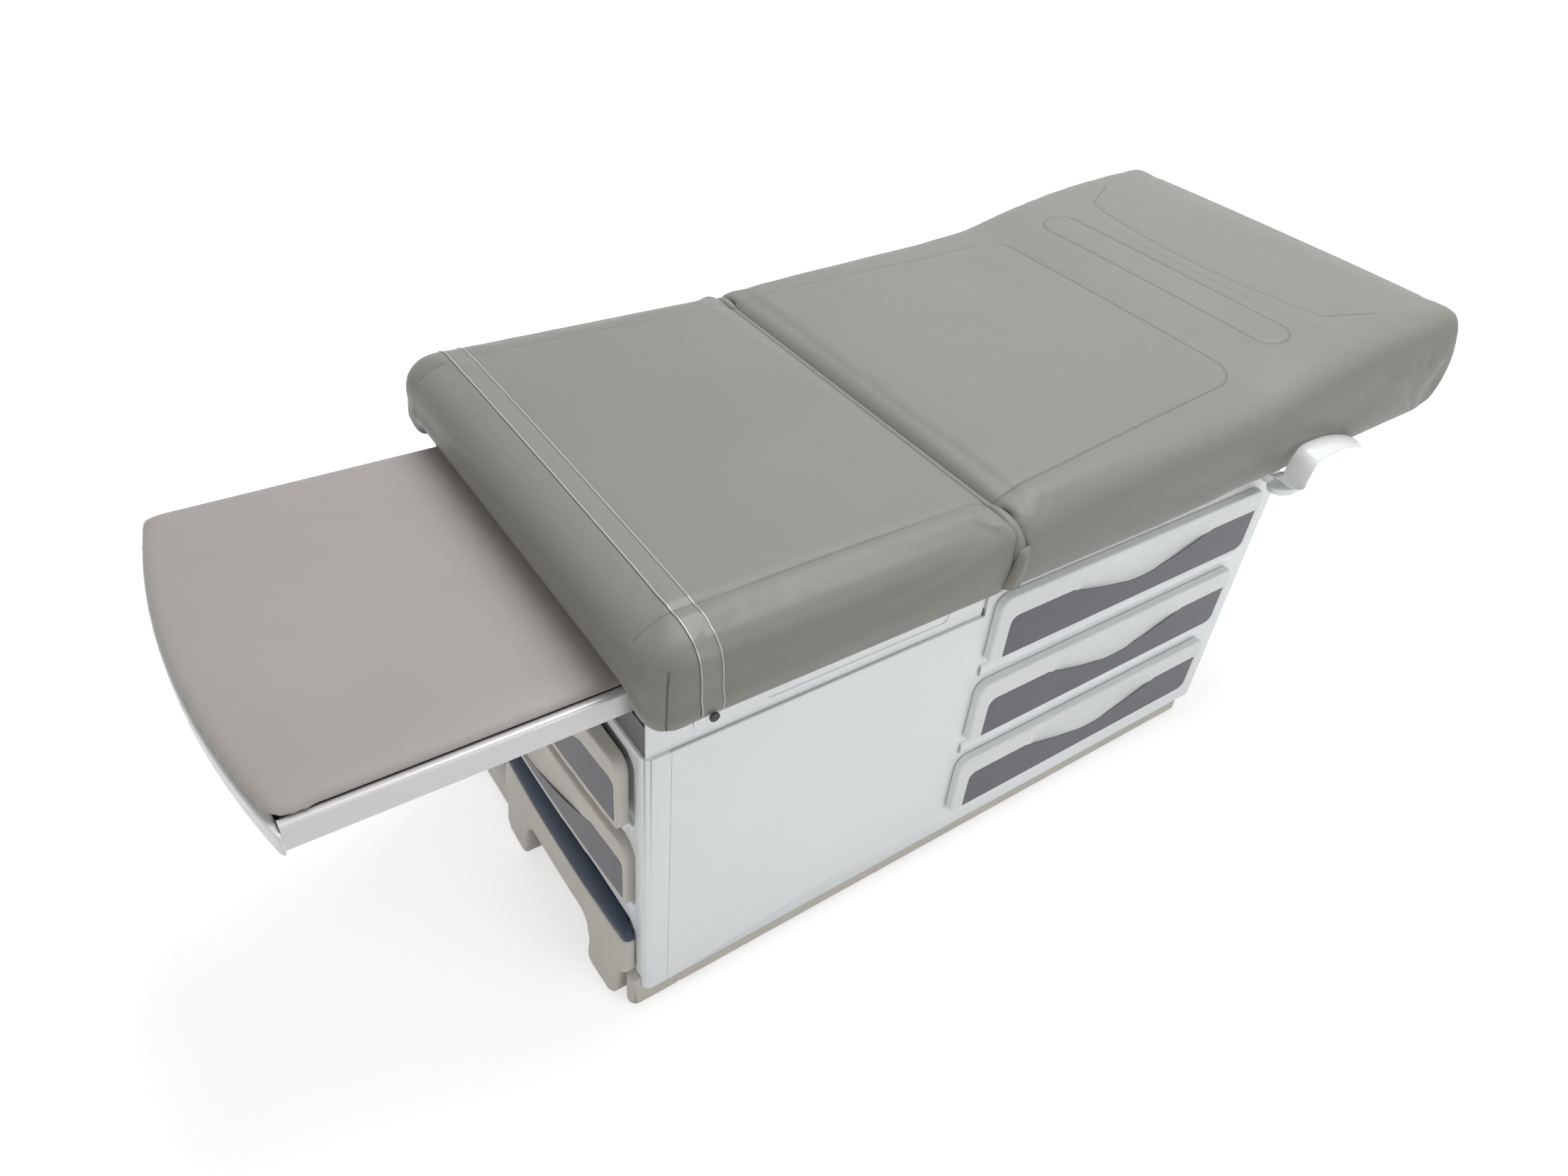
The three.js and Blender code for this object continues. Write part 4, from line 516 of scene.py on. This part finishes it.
# %% Pressed seams
PRESS_DEPTH = 0.0012
PRESS_REACH = 0.006


def rounded_gap(x, y, centre, half, radius):
    """Signed distance to the outline of a rounded rectangle, below 0 inside it."""
    qx = np.abs(x - centre[0]) - (half[0] - radius)
    qy = np.abs(y - centre[1]) - (half[1] - radius)
    outside = np.hypot(np.maximum(qx, 0), np.maximum(qy, 0))
    return outside + np.minimum(np.maximum(qx, qy), 0) - radius


def keep_gap(piece, gap):
    """Keeps each point's distance to the nearest seam, which the vinyl finish reads."""
    kept = piece.data.attributes.new(SEAM_GAP, "FLOAT", "POINT")
    kept.data.foreach_set("value", gap.astype(np.float32))


def unseamed(piece):
    """A piece of vinyl with no seam near."""
    keep_gap(piece, np.full(len(piece.data.vertices), NO_SEAM))
    return piece


def press(piece, gap, where):
    """Pushes the points near a seam into the foam, where the mask is true."""
    push = np.exp(-(gap / PRESS_REACH) ** 2) * where * PRESS_DEPTH
    set_points(piece, points(piece) - point_normals(piece) * push[:, None])
    keep_gap(piece, np.where(where, gap, NO_SEAM))


# %% [markdown]
# The seat has one sewn line along each side and, at the foot end, a slanting one down each corner.

# %% Seat cushion
LONG_SEAM_Y = 0.290
CORNER_SEAM_X = -0.006 + FOOT_FACE
CORNER_SEAM_Y = 0.354
CORNER_SEAM_SLOPE = 0.9
CORNER_SEAM_TOP = 0.672
CORNER_SEAM_INNER_Y = 0.318
CORNER_SEAM_REACH = 0.04
SLANT_SHARE = 0.75      # across a slanting seam, as a share of the distance along X
SEAT_SEAM_REACH = 0.03
SEAT_TOP_FACING = 0.6   # the least z of a normal on the cushion's top

seat = copy_of_solid("seat_cushion", "seat_upholstery")
seat_head_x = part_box("seat_cushion")[1].x
stuff(seat, voxel=0.006, draw_in=0.0005, cap=0.004,
      pinned=lambda p: (p[:, 2] < SKIRT_LOW) | (p[:, 0] > seat_head_x - CREASE_HELD))
xyz = points(seat)
x, y, z = xyz[:, 0], np.abs(xyz[:, 1]), xyz[:, 2]
long_seam = np.where(point_normals(seat)[:, 2] > SEAT_TOP_FACING, np.abs(y - LONG_SEAM_Y), NO_SEAM)
at_corner = (y > CORNER_SEAM_INNER_Y) & (x < CORNER_SEAM_X + CORNER_SEAM_REACH) & (z < CORNER_SEAM_TOP)
from_corner = (x - CORNER_SEAM_X) - (CORNER_SEAM_Y - y) * CORNER_SEAM_SLOPE
corner_seam = np.where(at_corner, np.abs(from_corner) * SLANT_SHARE, NO_SEAM)
seat_gap = np.minimum(long_seam, corner_seam)
press(seat, seat_gap, seat_gap < SEAT_SEAM_REACH)
dress(seat, seat_vinyl, "seat_vinyl", "base", "seat_cushion")

# %% [markdown]
# The back section has three pressed figures: a long panel whose sides draw in toward the head, a band with
# round ends, and the edge of the raised pillow, which sags in the middle and runs out at both sides. Here x
# counts from the cabinet's foot face.

# %% Back cushion
CREASE = 0.478
PANEL_NARROW, PANEL_END = 0.957, 0.981
PANEL_Y, PANEL_RADIUS = 0.265, 0.05
BAND_X, BAND_HALF = 1.092, (0.029, 0.250)
PILLOW_X, PILLOW_Y, PILLOW_SAG = 1.163, 0.242, 0.026
PILLOW_RUN_OUT = 1.9    # how fast the pillow's edge turns toward the head at its sides
PILLOW_END_Y = 0.284
PILLOW_SLANT_SHARE = 0.7
BACK_TOP_FACING = 0.5

back = copy_of_solid("back_cushion", "back_upholstery")
back_foot_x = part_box("back_cushion")[0].x
stuff(back, voxel=0.0075, draw_in=0.0005, cap=0.004,
      pinned=lambda p: (p[:, 2] < SKIRT_LOW) | (p[:, 0] < back_foot_x + CREASE_HELD))
xyz = points(back)
x, y = xyz[:, 0] - FOOT_FACE, np.abs(xyz[:, 1])
along = share_between(x, CREASE, PANEL_NARROW)
side_y = LONG_SEAM_Y + (PANEL_Y - LONG_SEAM_Y) * along ** 2 * (3 - 2 * along)
panel = rounded_gap(x, y * (PANEL_Y / side_y), (CREASE, 0), (PANEL_END - CREASE, PANEL_Y), PANEL_RADIUS)
panel = np.where(x < CREASE, y - side_y, panel)
band = rounded_gap(x, y, (BAND_X, 0), BAND_HALF, BAND_HALF[0])
pillow_edge = np.where(y < PILLOW_Y, PILLOW_X + PILLOW_SAG * (y / PILLOW_Y) ** 2,
                       PILLOW_X + PILLOW_SAG + (y - PILLOW_Y) * PILLOW_RUN_OUT)
pillow = np.where(y > PILLOW_END_Y, NO_SEAM, (x - pillow_edge) * PILLOW_SLANT_SHARE)
figures = np.stack([panel, band, pillow])
back_gap = np.take_along_axis(figures, np.abs(figures).argmin(0)[None], 0)[0]
press(back, back_gap, point_normals(back)[:, 2] > BACK_TOP_FACING)
dress(back, seat_vinyl, "seat_vinyl", "back", "back_cushion")

# %% [markdown]
# The leg rest's pad fills its tray closely. Its foot edge is bowed, its corners are nearly square, and it
# swells a little over the tray's lip. The blank's corners are rounder, so the points of each corner move out
# along rays from the corner arc's centre, until the arc has the smaller radius.

# %% Leg rest pad
PAD_BOW = 0.032
PAD_RISE = 0.0035
PAD_OVERHANG = 0.0060
CORNER_ROUND, CORNER_TIGHT = 0.042, 0.018
PAD_HELD_LOW, PAD_HELD_RIM = 0.59, 0.95
SWELL_LOW, SWELL_HIGH = 0.576, 0.582        # heights between which the overhang comes in
RISE_LOW, RISE_HIGH = 0.583, 0.591          # and between which the rise does
RIM_DROP, RIM_DROP_FROM = 1.5, 0.93         # how much of the rise the rim loses, and from which share out
FOOT_SWELL_FROM, SIDE_SWELL_FROM = 0.88, 0.90
SWELL_POWER = 1.5

pad = copy_of_solid("extension_pad", "leg_pad")
low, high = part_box("extension_pad")
pad_x, pad_y = (low.x + high.x) / 2, (low.y + high.y) / 2
half_length, half_width = (high.x - low.x) / 2, (high.y - low.y) / 2


def pad_reach(places):
    """How far the pad reaches toward the foot end, from its middle, at each point's y."""
    return half_length - PAD_BOW + PAD_BOW * (1 - ((places[:, 1] - pad_y) / half_width) ** 2)


def pad_shares(places):
    """How far out each point is, toward the foot end and toward the sides, 1 being the outline."""
    return (pad_x - places[:, 0]) / pad_reach(places), np.abs(places[:, 1] - pad_y) / half_width


def squared_corners(places):
    """The same points, with the corners at the foot end drawn out to the smaller radius."""
    from_side = CORNER_ROUND - (half_width - np.abs(places[:, 1] - pad_y))
    from_foot = CORNER_ROUND - (pad_reach(places) - (pad_x - places[:, 0]))
    far = np.hypot(from_side, from_foot) + 1e-9
    side_way, foot_way = from_side / far, from_foot / far
    inner_square = CORNER_ROUND - CORNER_TIGHT
    both = inner_square * (side_way + foot_way)
    to_arc = both + np.sqrt(np.maximum(both ** 2 - 2 * inner_square ** 2 + CORNER_TIGHT ** 2, 0))
    to_line = CORNER_ROUND / np.maximum(np.maximum(side_way, foot_way), 1e-9)
    on_arc = to_line * np.minimum(side_way, foot_way) > inner_square
    longer = np.where(on_arc, to_arc, to_line) / CORNER_ROUND - 1
    push = np.where((from_side > 0) & (from_foot > 0), far * longer, 0)
    places[:, 0] -= push * foot_way
    places[:, 1] += push * side_way * np.sign(places[:, 1])
    return places


stuff(pad, voxel=0.0035, draw_in=0.0, cap=0.0015, smooth_rounds=10,
      pinned=lambda p: (p[:, 2] < PAD_HELD_LOW) | (np.maximum(*pad_shares(p)) > PAD_HELD_RIM))
blank = points(pad)
reach = pad_reach(blank)
xyz = squared_corners(blank)
foot_share = (pad_x - xyz[:, 0]) / reach
side_share = np.abs(xyz[:, 1] - pad_y) / half_width
over_lip = share_between(xyz[:, 2], SWELL_LOW, SWELL_HIGH)
rim = share_between(np.maximum(foot_share, side_share), RIM_DROP_FROM, 1) ** 2
xyz[:, 2] += PAD_RISE * share_between(xyz[:, 2], RISE_LOW, RISE_HIGH) * (1 - RIM_DROP * rim)
xyz[:, 0] -= share_between(foot_share, FOOT_SWELL_FROM, 1) ** SWELL_POWER * PAD_OVERHANG * over_lip
side_swell = share_between(side_share, SIDE_SWELL_FROM, 1) ** SWELL_POWER * PAD_OVERHANG * over_lip
xyz[:, 1] += side_swell * np.sign(xyz[:, 1])
set_points(pad, xyz)
dress(unseamed(pad), pad_vinyl, "pad_vinyl", "leg_rest", "extension_pad")

# %% [markdown]
# ## The corner stitching
# Where the seat's skirt turns the corner two panels are sewn together, and the thread shows as a row of
# short stitches. Each stitch is a small bar with bevelled ends. It is found by looking at the corner from
# outside, so it lies on the vinyl wherever the stuffing has left it.

# %% Corner stitches
STITCHES = 23
STITCH_LOW, STITCH_PITCH = 0.596, 0.0033
STITCH_LENGTH, STITCH_RADIUS = 0.0024, 0.0005
STITCH_BEVEL, STITCH_LIFT = STITCH_RADIUS * 0.7, STITCH_RADIUS * 0.4
LOOK_FROM = 0.2


def one_stitch(place, normal):
    """An upright stitch that lies on the vinyl and stands out from it a little."""
    stitch = primitive("stitch", bpy.ops.mesh.primitive_cylinder_add, vertices=6, radius=STITCH_RADIUS,
                       depth=STITCH_LENGTH)
    edit_all(stitch, bpy.ops.mesh.bevel, offset=STITCH_BEVEL, segments=1)
    outward = Vector((normal.x, normal.y, 0)).normalized()
    turn = outward.to_track_quat("Y", "Z").to_matrix().to_4x4()
    stitch.data.transform(Matrix.Translation(place + outward * STITCH_LIFT) @ turn)
    return stitch


for side, side_name in SIDES:
    aim = Vector((0.9, -side * 1.0, 0)).normalized()
    stitches = []
    for i in range(STITCHES):
        corner = Vector((CORNER_SEAM_X, side * CORNER_SEAM_Y, STITCH_LOW + i * STITCH_PITCH))
        found, place, normal, _ = seat.ray_cast(corner - aim * LOOK_FROM, aim)
        if found:
            stitches.append(one_stitch(place, normal))
    alone(stitches[0])
    for stitch in stitches:
        stitch.select_set(True)
    bpy.ops.object.join()
    row = bpy.context.object
    row.name = "corner_stitches_" + side_name
    bpy.ops.object.shade_smooth()
    dress(row, thread, "seat_vinyl", "base")

# %% [markdown]
# ## The paper strap
# The strap is a strip of clear vinyl pulled over the seat. It can only look tight if it follows the stuffed
# surface, so it is cut from a copy of the seat's own skin with three bisecting planes, lifted off the vinyl
# by less than a millimetre, and given a wall.

# %% Strap
STRAP_LOW = 0.5935
STRAP_LIFT, STRAP_WALL = 0.0009, 0.0007
INSIDE_Y, INSIDE_TOP = 0.345, 0.66      # what lies within these is the seat's underside
FACING_DOWN = -0.2

strap = seat.copy()
strap.data = seat.data.copy()
strap.name = "clear_strap"
scene.collection.objects.link(strap)
for mark in list(strap.keys()):
    del strap[mark]
for place, outward in (((STRAP_X + STRAP_HALF, 0, 0), (1, 0, 0)), ((STRAP_X - STRAP_HALF, 0, 0), (-1, 0, 0)),
                       ((0, 0, STRAP_LOW), (0, 0, -1))):
    edit_all(strap, bpy.ops.mesh.bisect, plane_co=place, plane_no=outward, clear_outer=True)
edit_all(strap, bpy.ops.mesh.select_all, action="DESELECT")
for face in strap.data.polygons:
    inside = abs(face.center.y) < INSIDE_Y and face.center.z < INSIDE_TOP
    face.select = face.normal.z < FACING_DOWN or inside
bpy.ops.object.mode_set(mode="EDIT")
bpy.ops.mesh.delete(type="FACE")
edit_all(strap, bpy.ops.transform.shrink_fatten, value=STRAP_LIFT)
wall = strap.modifiers.new("wall", "SOLIDIFY")
wall.thickness = STRAP_WALL
wall.offset = 1
finish_modifiers(strap)
bpy.ops.object.shade_smooth_by_angle(angle=math.radians(50))
dress(strap, clear_vinyl, "clear_vinyl", "base", "paper_strap")

# %% [markdown]
# ## The crease
# Seat and back meet in a crease that runs over the shoulder and down the side. There the vinyl is gathered
# into a soft fold that hides the hinge and keeps the crease closed, and it ends in a small curled flap. The
# fold is a curve with a round section that grows toward the side, and the flap is a cone with a pleat.

# %% A fold along a line
HINGE_X = CREASE + FOOT_FACE


def fold_along(name, places, radii):
    """A roll of vinyl through places, closed at its ends."""
    line = bpy.data.curves.new(name, "CURVE")
    line.dimensions = "3D"
    line.bevel_depth = 1.0
    line.bevel_resolution = 6
    line.use_fill_caps = True
    line.resolution_u = 8
    run = line.splines.new("NURBS")
    run.points.add(len(places) - 1)
    run.use_endpoint_u = True
    run.order_u = 4
    for point, place, radius in zip(run.points, places, radii):
        point.co = (*place, 1)
        point.radius = radius
    fold = bpy.data.objects.new(name, line)
    scene.collection.objects.link(fold)
    alone(fold)
    bpy.ops.object.convert(target="MESH")
    bpy.ops.object.shade_smooth()
    return unseamed(bpy.context.object)


# Over the shoulder and down the side, as (y, z, radius)
shoulder = [(0.292, 0.6815, 0.0050), (0.306, 0.6808, 0.0084), (0.320, 0.6795, 0.0092),
            (0.333, 0.6745, 0.0104), (0.343, 0.6650, 0.0112), (0.3475, 0.6500, 0.0108),
            (0.3480, 0.6260, 0.0096), (0.3475, 0.6010, 0.0085)]
for side, side_name in SIDES:
    fold = fold_along("crease_fold_" + side_name, [(HINGE_X, side * y, z) for y, z, radius in shoulder],
                      [radius for y, z, radius in shoulder])
    dress(fold, seat_vinyl, "seat_vinyl", "base")

# A thinner roll closes the bottom of the crease between the two folds
ROLL_Z, ROLL_RADIUS = 0.6795, 0.0055
roll_places = [(HINGE_X, y / 100, ROLL_Z) for y in range(-30, 31, 6)]
crease_roll = fold_along("crease_roll", roll_places, [ROLL_RADIUS] * len(roll_places))
dress(crease_roll, seat_vinyl, "seat_vinyl", "base")

# %% The curled flap at the fold's end
FLAP_HEIGHT = 0.064
FLAP_LOW_RADIUS, FLAP_HIGH_RADIUS = 0.0165, 0.0080
FLAP_FLATNESS = 0.75
FLAP_PLACE = (HINGE_X - 0.001, 0.3520, 0.6340)
PLEAT_DEPTH, PLEAT_WIDTH, PLEAT_TWIST = 0.16, 0.28, 0.5
CURL_HALF = 0.030       # the curl runs from this far below the flap's middle to as far above it
LEAN, LEAN_FROM = 0.010, 0.4
CURL, CURL_TURN = 0.005, 0.9

for side, side_name in SIDES:
    flap = primitive("crease_flap_" + side_name, bpy.ops.mesh.primitive_cone_add, vertices=24,
                     radius1=FLAP_LOW_RADIUS, radius2=FLAP_HIGH_RADIUS, depth=FLAP_HEIGHT)
    edit_all(flap, bpy.ops.mesh.subdivide, number_cuts=4)
    edit_all(flap, bpy.ops.mesh.vertices_smooth, factor=0.5, repeat=3)
    xyz = points(flap)
    up_share = (xyz[:, 2] + CURL_HALF) / (CURL_HALF * 2)
    round_it = np.arctan2(xyz[:, 1], xyz[:, 0])
    from_pleat = round_it + math.pi / 2 - PLEAT_TWIST * up_share
    pleat = 1 - PLEAT_DEPTH * np.exp(-(from_pleat / PLEAT_WIDTH) ** 2)
    lean = LEAN * (up_share - LEAN_FROM)
    curl = CURL * np.sin(up_share * math.pi * CURL_TURN)
    xyz[:, 0] = xyz[:, 0] * pleat + lean + FLAP_PLACE[0]
    xyz[:, 1] = -side * (xyz[:, 1] * FLAP_FLATNESS * pleat - curl) + side * FLAP_PLACE[1]
    xyz[:, 2] += FLAP_PLACE[2]
    set_points(flap, xyz)
    if side > 0:
        edit_all(flap, bpy.ops.mesh.flip_normals)
    alone(flap)
    bpy.ops.object.shade_smooth()
    dress(unseamed(flap), seat_vinyl, "seat_vinyl", "base")

# %% [markdown]
# ## Moulded parts
# The drawer fronts, the step, the levers' discs and the leg rest's cap are injection mouldings: every edge
# is a little round and every scoop flows. A CAD solid has flat facets there. A copy of the solid is remeshed
# to an even net and smoothed, which rounds the edges in the mesh itself and not only in its shading.

# %% Moulding a solid


def mould(node, name, finish, slot, body, voxel, smooth_rounds=3):
    """A rounded copy of a solid, which it stands for."""
    piece = copy_of_solid(node, name)
    even_net(piece, voxel, smooth_rounds)
    bpy.ops.object.shade_smooth()
    dress(piece, finish, slot, body, node)
    return piece


# %% Drawer fronts
FRONT_VOXEL = 0.0019
for place, finish, slot, numbers in (("side", white_moulding, "white_moulding", (1, 2, 3)),
                                     ("foot", warm_moulding, "warm_moulding", (1, 2))):
    for i in numbers:
        drawer = f"{place}_drawer_{i}"
        mould(f"{drawer}_front", f"{drawer}_moulding", finish, slot, drawer, FRONT_VOXEL)

# %% Step, cap and the levers' discs
CAP_HEIGHT_SHARE = 0.86
mould("step_tread", "step_tread_rubber", navy_rubber, "navy_rubber", "step", voxel=0.0022)
mould("step_body", "step_moulding", warm_moulding, "warm_moulding", "step", voxel=0.0026)
cap = mould("extension_front_cap", "leg_rest_cap", white_moulding, "white_moulding", "leg_rest",
            voxel=0.0017, smooth_rounds=2)
xyz = points(cap)
cap_low = xyz[:, 2].min()
xyz[:, 2] = cap_low + (xyz[:, 2] - cap_low) * CAP_HEIGHT_SHARE
set_points(cap, xyz)
for side, side_name in SIDES:
    mould(f"lever_boss_{side_name}", f"lever_disc_{side_name}", gloss_white, "white_moulding",
          "release_handle", voxel=0.0013, smooth_rounds=4)

# %% [markdown]
# ## The release levers
# Each lever is a thin blade that leaves the hub, turns outward round the cushion and arches back toward the
# head end. The solid has ten straight stations. Here a grid is bent through the same ten stations with a
# smooth curve, its outer edge is drawn down a little as the real one's is, and Solidify gives it its wall.

# %% Lever blades
SHAFT_X, SHAFT_Z = 1.040 + FOOT_FACE, 0.58425
RISE_X, RISE_Z = 1.022 + FOOT_FACE, 0.618
PEAK_Z, TIP_X = 0.650, 1.190 + FOOT_FACE
OUTWARD, TUCK, WIDTH = 0.361, 0.3323, 0.038
BLADE_WALL, BLADE_ROUND = 0.0046, 0.0016
BLADE_BOW, BLADE_SAG = 0.0022, 0.004
TIP_FROM, TIP_TO, TIP_NARROWING = 8.2, 9.0, 0.30
GROWN_BY = 3            # the bow and sag are full from this station on

# Shares of each station's way along, rise, peak, way out and width
blade_shares = np.array([
    (0, 0, 0, 0, 1), (-0.6, 0.28, 0, 0.55, 1), (-1, 0.62, 0, 1, 1), (-0.96, 1, 0, 1, 1),
    (-0.55, 1, 0.7, 1, 0.97), (0.025, 1, 0.98, 1, 0.93), (0.25, 1, 1, 1, 0.88), (0.5, 1, 0.86, 1, 0.8),
    (0.775, 1, 0.5, 1, 0.72), (1, 1, 0, 1, 0.62)])
along, rise, peak, out, wide = blade_shares.T
station_x = SHAFT_X + np.where(along < 0, along * (SHAFT_X - RISE_X), along * (TIP_X - SHAFT_X))
station_z = SHAFT_Z + rise * (RISE_Z - SHAFT_Z) + peak * (PEAK_Z - RISE_Z)
station_in = TUCK + out * (OUTWARD - TUCK)
stations = np.stack([station_x, station_z, station_in, wide * WIDTH], 1)


def through(places, at):
    """Catmull-Rom curve through rows of numbers."""
    i = np.clip(np.floor(at).astype(int), 0, len(places) - 2)
    t = (at - i)[:, None]
    before, here = places[np.maximum(i - 1, 0)], places[i]
    after, beyond = places[i + 1], places[np.minimum(i + 2, len(places) - 1)]
    return 0.5 * (2 * here + (after - before) * t + (2 * before - 5 * here + 4 * after - beyond) * t ** 2
                  + (3 * here - before - 3 * after + beyond) * t ** 3)


for side, side_name in SIDES:
    blade = primitive("lever_blade_" + side_name, bpy.ops.mesh.primitive_grid_add, x_subdivisions=60,
                      y_subdivisions=12, size=2)
    grid = points(blade)
    run = (grid[:, 0] + 1) / 2 * (len(stations) - 1)
    share = (grid[:, 1] + 1) / 2
    x, z, inner, width = through(stations, run).T
    width = width * (1 - TIP_NARROWING * share_between(run, TIP_FROM, TIP_TO) ** 2)
    grown = share_between(run, 0, GROWN_BY)
    bow = BLADE_BOW * np.sin(share * math.pi) * grown
    sag = BLADE_SAG * share ** 2 * grown
    set_points(blade, np.stack([x, side * (inner + width * share), z + bow - sag], 1))
    if side < 0:
        edit_all(blade, bpy.ops.mesh.flip_normals)
    wall = blade.modifiers.new("wall", "SOLIDIFY")
    wall.thickness = BLADE_WALL
    wall.offset = 0
    wall.use_even_offset = True
    edge = blade.modifiers.new("edge", "BEVEL")
    edge.width = BLADE_ROUND
    edge.segments = 3
    edge.limit_method = "ANGLE"
    edge.angle_limit = math.radians(50)
    finish_modifiers(blade)
    bpy.ops.object.shade_smooth()
    dress(blade, gloss_white, "white_moulding", "release_handle", f"release_lever_{side_name}")

# %% [markdown]
# ## Sheet metal
# The panels are bent from sheet. Their large faces are truly flat and only the corners turn, so here the
# copy keeps the solid's own faces and its normals are weighted by area: the flats stay flat and the turns
# look round.

# %% Panels with rounded turns
ROUND_BELOW = 34        # degrees between faces that count as one round turn


def rounded_turns(node, name, finish, slot, body):
    """A copy of a sheet solid with smooth turns, which it stands for."""
    piece = copy_of_solid(node, name)
    bpy.ops.object.shade_smooth_by_angle(angle=math.radians(ROUND_BELOW))
    even = piece.modifiers.new("even", "WEIGHTED_NORMAL")
    even.keep_sharp = True
    finish_modifiers(piece)
    dress(piece, finish, slot, body, node)


rounded_turns("foot_frame", "foot_face", white_paint, "white_paint", "base")
rounded_turns("near_side_panel", "near_panel", white_paint, "white_paint", "base")
rounded_turns("far_side_panel", "far_panel", white_paint, "white_paint", "base")
rounded_turns("plinth", "plinth_rails", warm_moulding, "warm_moulding", "base")
rounded_turns("chassis", "chassis_sheet", white_paint, "white_paint", "base")
rounded_turns("extension_tray", "leg_rest_tray", silver_paint, "silver_paint", "leg_rest")
